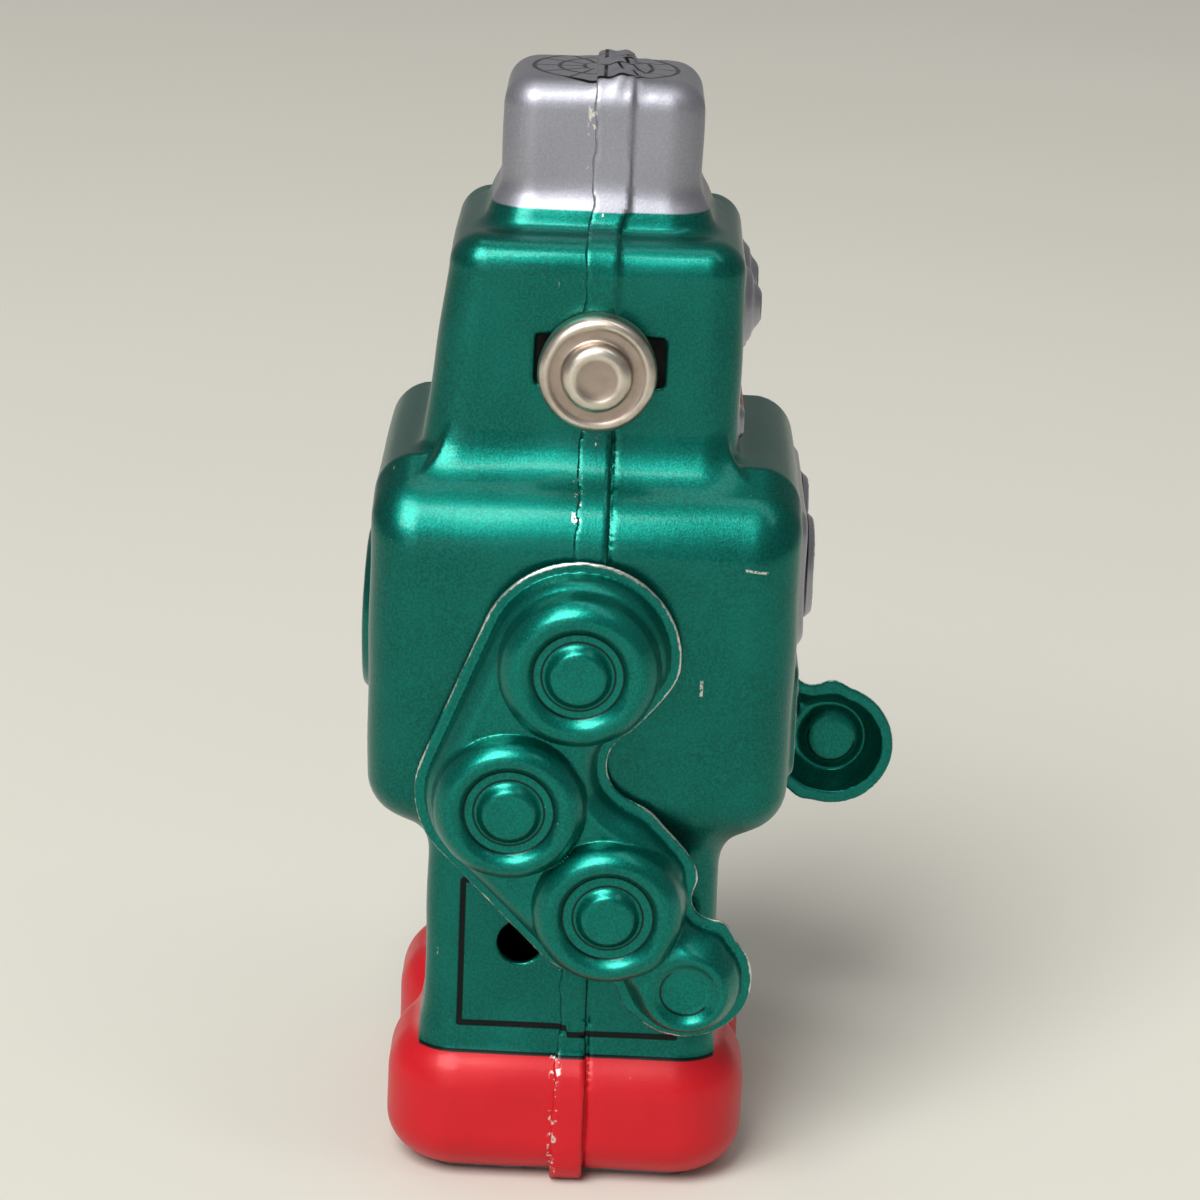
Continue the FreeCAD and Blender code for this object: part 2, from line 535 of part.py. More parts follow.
def make_pusher(side):
    """Rubber-faced block on the rod's lower end that dips through the sole."""
    middle = rod_x(side) + ROD_THICKNESS / 2
    y = CRANK[0] + side * CRANK_THROW
    block = box(middle - PUSHER_HALF_WIDTH, middle + PUSHER_HALF_WIDTH,
                y - PUSHER_HALF_LENGTH, y + PUSHER_HALF_LENGTH, PUSHER_BOTTOM, ROD_BOTTOM)
    upright = edges_along(block, lambda edge: abs(edge.Vertexes[0].Z - edge.Vertexes[1].Z) > 1)
    return block.makeFillet(PUSHER_ROUNDING, upright)


def make_clockwork():
    plate_end = PLATE_OUTER_X + PLATE_THICKNESS
    half_depth = LEG_HALF_DEPTH - BRACKET_END_INSET
    bracket = box(*BRACKET_SPAN, -half_depth, half_depth, BRACKET_BOTTOM, CRANK[1] + BRACKET_ABOVE_CRANK)
    bracket = bracket.cut(disc(SHAFT_RADIUS + FIT, BRACKET_SPAN[0] - 1, BRACKET_SPAN[1] + 1, CRANK))
    click_low, click_high = ARBOR[1] + CLICK_LOW, ARBOR[1] + CLICK_HIGH
    parts = {
        "motor_plate_inner": make_motor_plate(PLATE_INNER_X),
        "motor_plate_outer": make_motor_plate(PLATE_OUTER_X),
        "motor_pillars": make_pillars(),
        "crank_bearing_bracket": bracket,
        "mainspring": make_mainspring(),
        "winding_arbor": disc(ARBOR_RADIUS, PLATE_INNER_X, ARBOR_END_X, ARBOR),
        "winding_key": make_winding_key(),
        "ratchet_wheel": star(RATCHET_TEETH, RATCHET_TIP, RATCHET_ROOT, *RATCHET_SPAN,
                              ARBOR, ARBOR_RADIUS, RATCHET_LEAN),
        "great_wheel": gear(GREAT_TEETH, *GREAT_SPAN, ARBOR, ARBOR_RADIUS + FIT, heading(ARBOR, IDLER)),
        "ratchet_click": box(*CLICK_SPAN, ARBOR[0] - CLICK_HALF_LENGTH, ARBOR[0] + CLICK_HALF_LENGTH,
                             click_low, click_high),
        "idler_shaft": disc(PINION_SHAFT_RADIUS, PLATE_INNER_X, plate_end, IDLER),
        "idler_pinion": gear(IDLER_PINION_TEETH, *IDLER_PINION_SPAN, IDLER, PINION_SHAFT_RADIUS,
                             facing_gap(IDLER_PINION_TEETH, IDLER, ARBOR)),
        "idler_wheel": gear(IDLER_TEETH, *IDLER_SPAN, IDLER, PINION_SHAFT_RADIUS, heading(IDLER, CRANK)),
        "crankshaft": disc(SHAFT_RADIUS, RIGHT_DISC_X, LEFT_DISC_X, CRANK),
        "crank_pinion": gear(CRANK_PINION_TEETH, *CRANK_PINION_SPAN, CRANK, SHAFT_RADIUS,
                             facing_gap(CRANK_PINION_TEETH, CRANK, IDLER)),
        "crank_wheel": gear(CRANK_TEETH, *CRANK_SPAN, CRANK, SHAFT_RADIUS, heading(CRANK, ESCAPE)),
        "escape_shaft": disc(PINION_SHAFT_RADIUS, PLATE_INNER_X, plate_end, ESCAPE),
        "escape_pinion": gear(ESCAPE_PINION_TEETH, *ESCAPE_PINION_SPAN, ESCAPE, PINION_SHAFT_RADIUS,
                              facing_gap(ESCAPE_PINION_TEETH, ESCAPE, CRANK)),
        "escape_wheel": star(ESCAPE_TEETH, ESCAPE_RADIUS, ESCAPE_ROOT, *ESCAPE_SPAN,
                             ESCAPE, PINION_SHAFT_RADIUS, ESCAPE_LEAN),
        "pallet": make_pallet(),
        "pallet_staff": disc(STAFF_RADIUS, PLATE_INNER_X, plate_end, PALLET),
    }
    for side, name in ((-1, "right"), (1, "left")):
        pin = (CRANK[0] + side * CRANK_THROW, CRANK[1])
        disc_x = RIGHT_DISC_X - DISC_THICKNESS if side < 0 else LEFT_DISC_X
        pin_x = disc_x - PIN_LENGTH if side < 0 else disc_x + DISC_THICKNESS
        parts[name + "_crank_disc"] = disc(CRANK_DISC_RADIUS, disc_x, disc_x + DISC_THICKNESS, CRANK)
        parts[name + "_crank_pin"] = disc(CRANK_PIN_RADIUS, pin_x, pin_x + PIN_LENGTH, pin)
        parts[name + "_walking_rod"] = make_walking_rod(side)
        parts[name + "_pusher"] = make_pusher(side)
    return parts


def main():
    os.makedirs("parts", exist_ok=True)
    front, rear = make_shells()
    parts = {"front_shell": front, "rear_shell": rear}
    for side, name in ((-1, "right"), (1, "left")):
        parts[name + "_sole_plate"] = make_sole_plate(side)
    right_only = {
        "ear_knob": make_ear_knob(),
        "ear_clip": make_ear_clip(),
        "shoulder_bush": make_shoulder_bush(),
    }
    arm_pieces = {
        "arm": make_arm(),
        "shoulder_shaft": make_shoulder_shaft(),
        "arm_lever": make_arm_lever(),
        "shaft_washer": make_shaft_washer(),
    }
    for name, shape in right_only.items():
        parts["right_" + name] = shape
        parts["left_" + name] = to_left(shape)
    for name, shape in arm_pieces.items():
        parts["right_" + name] = shape
        parts["left_" + name] = swing_left(to_left(shape))
    parts.update(make_clockwork())
    for name, shape in parts.items():
        shape.exportStep("parts/" + name + ".step")
        print(name, len(shape.Solids), shape.isValid(), round(shape.Volume, 2))


main()
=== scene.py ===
"""Clockwork walking robot of pressed, printed tinplate: the looks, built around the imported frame.

Blender objects are in metres.  The pressed sheet pieces are modelled in millimetres as distance fields
on a grid, because that gives pressed tin its rolled edges, and their meshes are then scaled to metres.
The robot faces -Y, its right side is -X and +Z is up.
"""

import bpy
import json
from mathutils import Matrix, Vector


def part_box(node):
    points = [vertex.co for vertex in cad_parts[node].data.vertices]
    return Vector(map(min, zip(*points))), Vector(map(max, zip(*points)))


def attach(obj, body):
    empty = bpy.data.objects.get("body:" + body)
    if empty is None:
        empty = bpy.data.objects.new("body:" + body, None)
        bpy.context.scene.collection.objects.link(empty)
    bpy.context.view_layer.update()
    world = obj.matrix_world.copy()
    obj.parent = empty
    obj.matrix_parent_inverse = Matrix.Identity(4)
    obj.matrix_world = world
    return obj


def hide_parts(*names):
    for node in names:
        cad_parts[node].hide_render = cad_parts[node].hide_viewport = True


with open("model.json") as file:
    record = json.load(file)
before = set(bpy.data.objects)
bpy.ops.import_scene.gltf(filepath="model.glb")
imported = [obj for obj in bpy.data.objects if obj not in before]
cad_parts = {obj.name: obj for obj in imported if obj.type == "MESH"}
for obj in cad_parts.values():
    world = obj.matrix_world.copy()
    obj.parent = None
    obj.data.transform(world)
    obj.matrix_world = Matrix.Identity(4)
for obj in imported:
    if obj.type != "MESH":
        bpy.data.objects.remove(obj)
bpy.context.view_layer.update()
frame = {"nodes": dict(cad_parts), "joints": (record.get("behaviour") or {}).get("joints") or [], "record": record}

import json
import math
import bpy
import bmesh
import numpy as np
import openvdb
from mathutils import Matrix, Vector

MM = 0.001

# ---- sizes taken from the frame, in millimetres ----


def box_mm(node):
    low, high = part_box(node)
    return np.array(low) / MM, np.array(high) / MM


SOLE_Z = box_mm("right_sole_plate")[0][2]
RIDGE = 0.35             # the CAD's seam flange rises this far above the cap
TOP_Z = box_mm("front_shell")[1][2] - RIDGE
knob_low, knob_high = box_mm("right_ear_knob")
KNOB_Y, KNOB_Z = (knob_low[1] + knob_high[1]) / 2, (knob_low[2] + knob_high[2]) / 2
joints = {joint["name"]: joint for joint in frame["joints"]}
shoulder = {side: np.array(joints[side + "_arm_swing"]["pos_m"]) / MM for side in ("right", "left")}
key_low, key_high = box_mm("winding_arbor")
KEY_HOLE = ((key_low[1] + key_high[1]) / 2, (key_low[2] + key_high[2]) / 2)
LEFT_ARM_REST = 31.0     # degrees that the left arm is swung forward of the right one

# ---- pressed body, millimetres ----
CAP = dict(half_x=8.8, half_y=10.0, low=93.0, high=TOP_Z, plan=3.6, top=3.0, bottom=0.5)
SKIRT = dict(half_x=9.6, half_y=10.7, low=93.0, high=101.2, plan=3.6, top=0.7, bottom=0.5)
HEAD = dict(half_x=15.0, half_y=14.8, low=70.0, high=99.5, plan=3.8, top=3.4, bottom=0.5)
CHEST = dict(half_x=22.3, half_y=21.4, low=39.2, high=77.2, plan=4.8, top=4.2, bottom=4.6)
LEG = dict(half_x=8.0, half_y=15.0, low=10.0, high=50.0, plan=3.2, top=0.5, bottom=0.5)
FOOT = dict(half_x=9.75, half_y=18.7, low=0.5, high=15.8, plan=7.6, top=6.0, bottom=4.8)
LEG_X, FOOT_X = 10.0, 10.75
SHOULDER_SLOPE, SLOPE_START = 0.58, 14.5
HEAD_BACK_SLOPE = 0.12
CAP_FILLET, HEAD_FILLET, NECK_FILLET, NECK_FILLET_SIDES = 3.4, 2.0, 1.2, 3.0
HIP_FILLET, ANKLE_FILLET = 4.5, 1.2
CHEST_DRAFT = 0.05       # the chest narrows towards its bottom
LEG_FLARE = 0.5          # the legs widen just above the feet
BULGE = 0.15             # the chest's sides swell out this far at mid height
WALL = 0.8
CAP_LINE_Z, FOOT_LINE_Z = 101.6, 14.3
BODY_STEP = 0.3          # grid of the body's distance field
BODY_LOW, BODY_HIGH = (-23.6, -25.6, -0.6), (23.6, 23.2, TOP_Z + 1.6)

# ---- pressed and printed features of the body: places and sizes, millimetres ----
EYE_X, EYE_Z, EYE_RADIUS, PUPIL_DISC = 6.0, 91.8, 4.4, 2.9
NOSE_Z, NOSE_RADIUS = 87.0, 1.9
MOUTH_Z, MOUTH_HALF_WIDTH = 83.0, 7.5
CHIN_Z = 80.2
DIAL_X, PANEL_Z, DIAL_RADIUS, DIAL_FACE = 7.6, 65.2, 5.8, 4.6
LOUVRE_Z, LOUVRE_PITCH, LOUVRE_START = 50.2, 3.0, 45.7
BACK_DISC_Z, BACK_DISC_RADIUS, BACK_DISC_INNER = 56.5, 9.5, 6.0
SLOT_Y, SLOT_Z, SLOT_HALF_LENGTH, SLOT_HALF_HEIGHT = -0.6, 87.6, 6.45, 2.5
KEY_HOLE_RADIUS, SHOULDER_HOLE_RADIUS = 2.3, 2.4
PUSHER_HOLE_HALF_X, PUSHER_HOLE_HALF_Y, PUSHER_HOLE_SHIFT = 2.3, 5.6, 2.2


# ---------------------------------------------------------------------------- distance fields
def smooth_union(a, b, reach):
    blend = np.maximum(reach - np.abs(a - b), 0) / reach
    return np.minimum(a, b) - blend * blend * reach / 4


def smoothstep(x, low, high):
    t = np.clip((x - low) / (high - low), 0, 1)
    return t * t * (3 - 2 * t)


def round_rect(x, y, half_x, half_y, radius):
    qx, qy = np.abs(x) - half_x + radius, np.abs(y) - half_y + radius
    outside = np.hypot(np.maximum(qx, 0), np.maximum(qy, 0))
    return outside + np.minimum(np.maximum(qx, qy), 0) - radius


def block(x, y, z, half_x, half_y, low, high, plan, top, bottom):
    """Upright block with rounded plan corners and its own edge radius at the top and the bottom."""
    middle = (low + high) / 2
    edge = np.where(z > middle, top, bottom)
    side = round_rect(x, y, half_x - edge, half_y - edge, plan - np.minimum(edge, plan - 0.1))
    cap = np.abs(z - middle) - (high - low) / 2 + edge
    outside = np.hypot(np.maximum(side, 0), np.maximum(cap, 0))
    return outside + np.minimum(np.maximum(side, cap), 0) - edge


def sheet_waves(x, y, z):
    """The slight unevenness of hand-soldered tinplate, a few hundredths of a millimetre."""
    waves = np.sin(0.21 * x + 0.33 * z + 1.0) * np.sin(0.27 * y - 0.19 * z)
    return 0.05 * waves + 0.03 * np.sin(0.52 * z + 0.4 * y + 2.0)


def body_field(x, y, z):
    """Distance to the pressed outline of cap, head, chest, legs and feet."""
    draft = np.clip(CHEST_DRAFT * (CHEST["high"] - z), -0.2, 1.8)
    bulge = BULGE * np.clip(1 - (z - 58) ** 2 / 300, 0, 1)
    slope = SHOULDER_SLOPE * np.maximum(np.abs(x) - SLOPE_START, 0) * smoothstep(z, 52.0, 64.0)
    chest = block(x + np.sign(x) * draft, y, z + slope, **CHEST) - bulge
    lean = HEAD_BACK_SLOPE * np.maximum(96 - z, 0) * np.clip(y / HEAD["half_y"], 0, 1)
    head = block(x, y - lean, z, **HEAD)
    cap = block(x, y, z, **CAP)
    skirt = block(x, y, z, **SKIRT)
    legs = block(np.abs(x) - LEG_X, y, z, **LEG)
    feet = block(np.abs(x) - FOOT_X, y, z, **FOOT)
    cap = smooth_union(cap, skirt, CAP_FILLET)
    head = smooth_union(cap, head, HEAD_FILLET)
    beside = smoothstep(np.abs(x) - HEAD["half_x"] - np.abs(y) + HEAD["half_y"], -1.5, 0.5)
    whole = smooth_union(head, chest, NECK_FILLET + NECK_FILLET_SIDES * beside)
    flare_out = LEG_FLARE * np.exp(-((z - 15.5) / 2.0) ** 2)
    whole = smooth_union(whole, legs - flare_out, HIP_FILLET)
    whole = smooth_union(whole, feet, ANKLE_FILLET)
    return whole + sheet_waves(x, y, z)


def disc_height(distance, radius, height, edge):
    """Height of a pressed round feature with a rolled edge."""
    return height * (1 - smoothstep(distance, radius - edge, radius))


def raised_panel(x, z, half_x, half_z, corner, height, edge):
    """Height of a pressed rectangle with rounded corners and a rolled edge."""
    inset = 3.0
    distance = np.maximum(round_rect(x, z, half_x, half_z, corner) + inset, 0)
    return disc_height(distance, inset + 0.4, height, edge)


def front_relief(x, z):
    """Pressed features of the front: a plain face, a dial panel and a louvred panel."""
    eyes = sum(disc_height(np.hypot(x - s * EYE_X, z - EYE_Z), EYE_RADIUS, 0.9, 1.4)
               + disc_height(np.hypot(x - s * EYE_X, z - EYE_Z), PUPIL_DISC, 0.9, 1.6) for s in (-1, 1))
    nose = disc_height(np.hypot(x * 1.6, z - NOSE_Z), NOSE_RADIUS, 0.8, 1.4)
    mouth_distance = np.maximum(round_rect(x, z - MOUTH_Z, MOUTH_HALF_WIDTH, 1.6, 1.4) + 2, 0)
    mouth = -disc_height(mouth_distance, 2.2, 0.5, 0.6)
    chin = disc_height(np.maximum(round_rect(x, z - CHIN_Z, 9.5, 1.5, 1.0) + 2, 0), 2.4, 0.6, 0.8)
    panel = raised_panel(x, z - PANEL_Z, 15.0, 7.2, 3.0, 0.7, 1.4)
    dials = sum(disc_height(np.hypot(x - s * DIAL_X, z - PANEL_Z), DIAL_RADIUS, 1.0, 1.2)
                - disc_height(np.hypot(x - s * DIAL_X, z - PANEL_Z), DIAL_FACE, 0.5, 0.8) for s in (-1, 1))
    plate = raised_panel(x, z - LOUVRE_Z, 15.0, 6.0, 2.0, 0.6, 1.0)
    on_slats = round_rect(x, z - LOUVRE_Z, 11.0, 4.5, 1.5) < 0
    slats = 0.35 * np.sin((z - LOUVRE_START) * 2 * math.pi / LOUVRE_PITCH) * on_slats
    return eyes + nose + mouth + chin + panel + dials + plate + slats


def back_relief(x, z):
    centre = np.hypot(x, z - BACK_DISC_Z)
    return disc_height(centre, BACK_DISC_RADIUS, 1.3, 1.6) - disc_height(centre, BACK_DISC_INNER, 0.25, 1.0)


def crumple(x, y, z):
    """The lap is creased over the cap's top edge, where the tin was folded by hand."""
    on_top = smoothstep(z, 110.5, 113.5) * (1 - smoothstep(np.abs(x), 6.5, 9.5))
    near = np.exp(-((y + 1.6) / 2.6) ** 2) * on_top
    folds = np.sin(0.9 * x + 1.9 * y + 1.3 * np.sin(0.7 * x)) * np.sin(0.6 * x - 1.2 * y + 0.8)
    return near * (0.25 + 0.3 * folds + 0.1 * np.sin(2.1 * x + 0.6 * y))


def mesh_from_field(name, field, origin, step):
    """Surface of a distance field as a mesh of quads, millimetres scaled to metres."""
    field = np.ascontiguousarray(field, dtype=np.float32)
    grid = openvdb.FloatGrid(background=3.0)
    grid.copyFromArray(field)
    points, quads = grid.convertToQuads(isovalue=0.0)
    points = (np.asarray(points, dtype=np.float64) * step + np.asarray(origin)) * MM
    mesh = bpy.data.meshes.new(name)
    mesh.vertices.add(len(points))
    mesh.vertices.foreach_set("co", points.astype(np.float32).ravel())
    quads = np.asarray(quads)[:, ::-1]
    mesh.loops.add(quads.size)
    mesh.polygons.add(len(quads))
    mesh.loops.foreach_set("vertex_index", quads.astype(np.int32).ravel())
    mesh.polygons.foreach_set("loop_start", np.arange(0, quads.size, 4, dtype=np.int32))
    mesh.polygons.foreach_set("loop_total", np.full(len(quads), 4, dtype=np.int32))
    mesh.update(calc_edges=True)
    mesh.validate()
    mesh.polygons.foreach_set("use_smooth", np.ones(len(mesh.polygons), dtype=bool))
    thing = bpy.data.objects.new(name, mesh)
    bpy.context.scene.collection.objects.link(thing)
    return thing


def open_grid(low, high, step):
    axes = [np.arange(a, b + step, step, dtype=np.float32) for a, b in zip(low, high)]
    shaped = axes[0][:, None, None], axes[1][None, :, None], axes[2][None, None, :]
    return shaped, [axis[0] for axis in axes]


def cavity_cuts(x, y, z):
    """Ear slots, key holes, shoulder holes and pusher slots, as one field that is cut away."""
    slot = round_rect(y - SLOT_Y, z - SLOT_Z, SLOT_HALF_LENGTH, SLOT_HALF_HEIGHT, 0.3)
    slot = np.maximum(slot, 11 - np.abs(x))
    key = np.hypot(y - KEY_HOLE[0], z - KEY_HOLE[1]) - KEY_HOLE_RADIUS
    key = np.maximum(key, 14 - np.abs(x))
    cuts = np.minimum(slot, key)
    arm_hole = np.hypot(y - shoulder["right"][1], z - shoulder["right"][2]) - SHOULDER_HOLE_RADIUS
    cuts = np.minimum(cuts, np.maximum(arm_hole, 18 - np.abs(x)))
    for name in ("right_pusher", "left_pusher"):
        low, high = box_mm(name)
        rod = box_mm(name.replace("pusher", "walking_rod"))
        shift = PUSHER_HOLE_SHIFT if name.startswith("right") else -PUSHER_HOLE_SHIFT
        middle_x, middle_y = (rod[0][0] + rod[1][0]) / 2, (low[1] + high[1]) / 2 + shift
        hole = round_rect(x - middle_x, y - middle_y, PUSHER_HOLE_HALF_X, PUSHER_HOLE_HALF_Y, 0.4)
        cuts = np.minimum(cuts, np.maximum(hole, z - 3))
    return cuts


def lap_edges(z):
    """Rear and front edge of the lap, which is wider on the cap; the hand-cut rear edge wanders."""
    cap = smoothstep(z, 100.0, 102.5)
    leg = (1 - smoothstep(z, 38.0, 42.0)) * smoothstep(z, 13.0, 16.0)
    rear = 1.15 - 0.3 * cap - 0.35 * leg + 0.10 * np.sin(0.9 * z + 1.0) + 0.07 * np.sin(2.3 * z + 2.0)
    return rear, 2.15 + 0.75 * cap - 0.25 * leg


def lap_height(z):
    """The lap is folded double on the feet and stands away from the rounded edge at the sole."""
    return 0.38 + 0.35 * (1 - smoothstep(z, 12.5, 15.0)) + 0.45 * (1 - smoothstep(z, 0.8, 4.5))


def make_body():
    """Front and rear pressed halves; the front one carries the lap and has a crease beside it."""
    (x, y, z), origin = open_grid(BODY_LOW, BODY_HIGH, BODY_STEP)
    outer = body_field(x, y, z)
    inner = outer + WALL
    facing_front = smoothstep(-y, 9.0, 12.0)
    outer = outer - front_relief(x, z) * facing_front
    outer = outer - back_relief(x, z) * smoothstep(y, 15.0, 18.0) - crumple(x, y, z)
    cuts = cavity_cuts(x, y, z)
    rear_edge, front_edge = lap_edges(z)
    lap = np.maximum(np.maximum(outer - lap_height(z), -(outer + 0.5)),
                     np.maximum(y - rear_edge, -y - front_edge))
    lap = np.maximum(lap, SOLE_Z + 0.1 - z)
    crease = 0.21 - 0.3 * smoothstep(z, 78.0, 84.0)
    groove = np.maximum(np.abs(y + front_edge + 0.1) - crease, -(outer + 0.3))
    wall = np.maximum(outer, -inner)
    wall = np.maximum(wall, -groove)
    front = np.minimum(np.maximum(wall, y), lap)
    front = np.maximum(front, -cuts)
    rear = np.maximum(np.maximum(wall, 0.02 - y), -cuts)
    for name, field in (("front_shell_skin", front), ("rear_shell_skin", rear)):
        piece = mesh_from_field(name, field, origin, BODY_STEP)
        piece.data.materials.append(body_paint())
        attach(piece, "body")
        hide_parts(name.replace("_skin", ""))


# ---------------------------------------------------------------------------- arms
ARM_TILT = math.radians(4.0)
ARM_CENTRES = [(0.0, 0.0), (-6.4, -15.0), (3.9, -26.2), (12.2, -35.0)]
ARM_RADII = [10.2, 9.7, 9.5, 6.8]
BOSS_RADII = [7.9, 7.6, 7.6]
BUTTON_RADII = [3.5, 3.4, 3.4]
LINE_RADII = [4.5, 4.5, 4.6]
NOTCHES = [((7.2, -11.4), 4.0, (14.0, -8.0)), ((14.6, -25.9), 2.2, (18.0, -24.0)),
           ((2.4, -37.7), 3.0, (-1.0, -43.0))]
ARM_STEP = 0.22          # grid of the arm's distance field
ARM_SHEET = 0.45
ARM_LOW, ARM_HIGH = (-17.5, -43.5, -0.8), (20.5, 11.2, 7.6)
FLANGE_WIDTH, RISE_WIDTH = 1.1, 2.3
FLANGE_HEIGHT, PLATEAU_RISE = 0.45, 2.9
BOSS_HEIGHT, OUTER_DIP, INNER_DIP = 6.0, 1.7, 0.95


def capsule(u, v, a, ra, b, rb):
    """Flat distance to a round-ended bar that tapers from one radius to another."""
    du, dv = b[0] - a[0], b[1] - a[1]
    along = np.clip(((u - a[0]) * du + (v - a[1]) * dv) / (du * du + dv * dv), 0, 1)
    return np.hypot(u - a[0] - along * du, v - a[1] - along * dv) - (ra + (rb - ra) * along)


def arm_outline(u, v):
    shape = capsule(u, v, ARM_CENTRES[0], ARM_RADII[0], ARM_CENTRES[1], ARM_RADII[1])
    for i in (1, 2):
        bar = capsule(u, v, ARM_CENTRES[i], ARM_RADII[i], ARM_CENTRES[i + 1], ARM_RADII[i + 1])
        shape = np.minimum(shape, bar)
    for centre, radius, end in NOTCHES:
        shape = smooth_cut(shape, capsule(u, v, centre, radius, end, radius + 3), 1.6)
    return shape


def smooth_cut(shape, cutter, reach):
    return -smooth_union(-shape, cutter, reach)


def arm_height(u, v, outline):
    """Height of the pressed arm above its rim plane: flange, plateau, bosses, dished rings, buttons."""
    rise = np.clip((-outline - FLANGE_WIDTH) / RISE_WIDTH, 0, 1)
    height = FLANGE_HEIGHT + PLATEAU_RISE * np.sqrt(1 - (1 - rise) ** 2)
    height = height + 0.15 * np.exp(-((-outline - 2.9) / 0.7) ** 2)
    for (cu, cv), radius, line, button in zip(ARM_CENTRES, BOSS_RADII, LINE_RADII, BUTTON_RADII):
        r = np.hypot(u - cu, v - cv)
        crest = (line + radius) / 2 - 0.25
        outer_side = OUTER_DIP * ((r - crest) / (radius - crest)) ** 2
        inner_side = INNER_DIP * ((crest - r) / (crest - line)) ** 2
        ring = np.where(r > crest, outer_side, inner_side)
        boss = BOSS_HEIGHT - np.minimum(ring, np.where(r > crest, OUTER_DIP, INNER_DIP))
        boss = boss - 7.0 * smoothstep(r, radius - 0.15, radius + 1.05)
        boss = boss + INNER_DIP * (1 - smoothstep(r, button - 1.1, button + 0.05))
        height = soft_max(height, boss, 0.5)
    hand_r = np.hypot(u - ARM_CENTRES[3][0], v - ARM_CENTRES[3][1])
    height = height + 0.8 * np.exp(-((hand_r - 3.9) / 1.1) ** 2)
    return height


def soft_max(a, b, reach):
    return -smooth_union(-a, -b, reach)


def arm_axes(side):
    """Arm coordinates (forward, up, outward) as directions of the robot's frame, left arm swung."""
    sign = 1 if side == "left" else -1
    forward = Vector((0, -1, 0))
    up = Vector((sign * math.sin(ARM_TILT), 0, math.cos(ARM_TILT)))
    outward = Vector((sign * math.cos(ARM_TILT), 0, -math.sin(ARM_TILT)))
    if side == "left":
        turn = Matrix.Rotation(math.radians(LEFT_ARM_REST), 3, -outward)
        forward, up = turn @ forward, turn @ up
    return forward, up, outward


def make_arm(side):
    """Pressed dish of even thickness; its rim distance is stored for the bare rim line, which is partly wear and
    partly a painted highlight.
    """
    (u, v, w), origin = open_grid(ARM_LOW, ARM_HIGH, ARM_STEP)
    outline = arm_outline(u, v)
    height = arm_height(u, v, outline)
    slopes = np.gradient(height[:, :, 0], ARM_STEP)
    lean = np.sqrt(1 + slopes[0] ** 2 + slopes[1] ** 2)[:, :, None]
    top = (w - height) / lean
    under = (height - ARM_SHEET * np.minimum(lean, 4.0) * 1.25 - w) / lean
    sheet = np.maximum(np.maximum(top, under), np.maximum(outline, -w))
    piece = mesh_from_field(side + "_arm_skin", sheet, origin, ARM_STEP)
    places = np.empty(len(piece.data.vertices) * 3, dtype=np.float32)
    piece.data.vertices.foreach_get("co", places)
    places = places.reshape(-1, 3) / MM
    rim_distance = piece.data.attributes.new("rim_distance", "FLOAT", "POINT")
    rim_distance.data.foreach_set("value", -arm_outline(places[:, 0], places[:, 1]).astype(np.float32))
    forward, up, outward = arm_axes(side)
    place = Matrix((forward, up, outward)).transposed().to_4x4()
    place.translation = Vector(shoulder[side]) * MM
    piece.data.transform(place)
    if side == "left":
        piece.data.flip_normals()
    piece.data.materials.append(arm_paint(side))
    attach(piece, side + "_arm_body")
    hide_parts(side + "_arm")


# ---------------------------------------------------------------------------- ear knobs
# distance from the robot's middle and radius, from the tail to the tip
KNOB_PROFILE = [(12.6, 0.0), (12.6, 1.5), (15.45, 1.5), (15.45, 5.4), (15.55, 5.7), (15.8, 5.8),
                (17.6, 5.92), (18.3, 5.84), (18.75, 5.58), (18.98, 5.2), (19.0, 4.95), (18.85, 4.75),
                (18.8, 4.5), (18.8, 3.75), (18.9, 3.5), (19.6, 3.45), (20.1, 3.3), (20.4, 2.95),
                (20.55, 2.5), (20.52, 2.2), (20.42, 2.05), (20.42, 1.0), (20.42, 0.0)]
KNOB_TURNS = 72          # points round each ring


def make_knob(side):
    """Turned nickel knob: tail, rimmed disc with rolled edges, a step and a domed boss."""
    sign = 1 if side == "left" else -1
    mesh = bpy.data.meshes.new(side + "_ear_knob_skin")
    bm = bmesh.new()
    rings = []
    for reach, radius in KNOB_PROFILE:
        ring = []
        if radius == 0:
            ring = [bm.verts.new((sign * reach * MM, KNOB_Y * MM, KNOB_Z * MM))]
        else:
            for i in range(KNOB_TURNS):
                a = 2 * math.pi * i / KNOB_TURNS
                ring.append(bm.verts.new((sign * reach * MM, (KNOB_Y + radius * math.cos(a)) * MM,
                                          (KNOB_Z + radius * math.sin(a)) * MM)))
        rings.append(ring)
    for a, b in zip(rings, rings[1:]):
        for i in range(KNOB_TURNS):
            j = (i + 1) % KNOB_TURNS
            if len(a) == 1:
                bm.faces.new((a[0], b[i], b[j]))
            elif len(b) == 1:
                bm.faces.new((a[i], b[0], a[j]))
            else:
                bm.faces.new((a[i], b[i], b[j], a[j]))
    bmesh.ops.recalc_face_normals(bm, faces=bm.faces)
    bm.to_mesh(mesh)
    bm.free()
    for polygon in mesh.polygons:
        polygon.use_smooth = True
    piece = bpy.data.objects.new(side + "_ear_knob_skin", mesh)
    bpy.context.scene.collection.objects.link(piece)
    piece.data.materials.append(nickel_metal())
    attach(piece, "body")
    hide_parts(side + "_ear_knob")


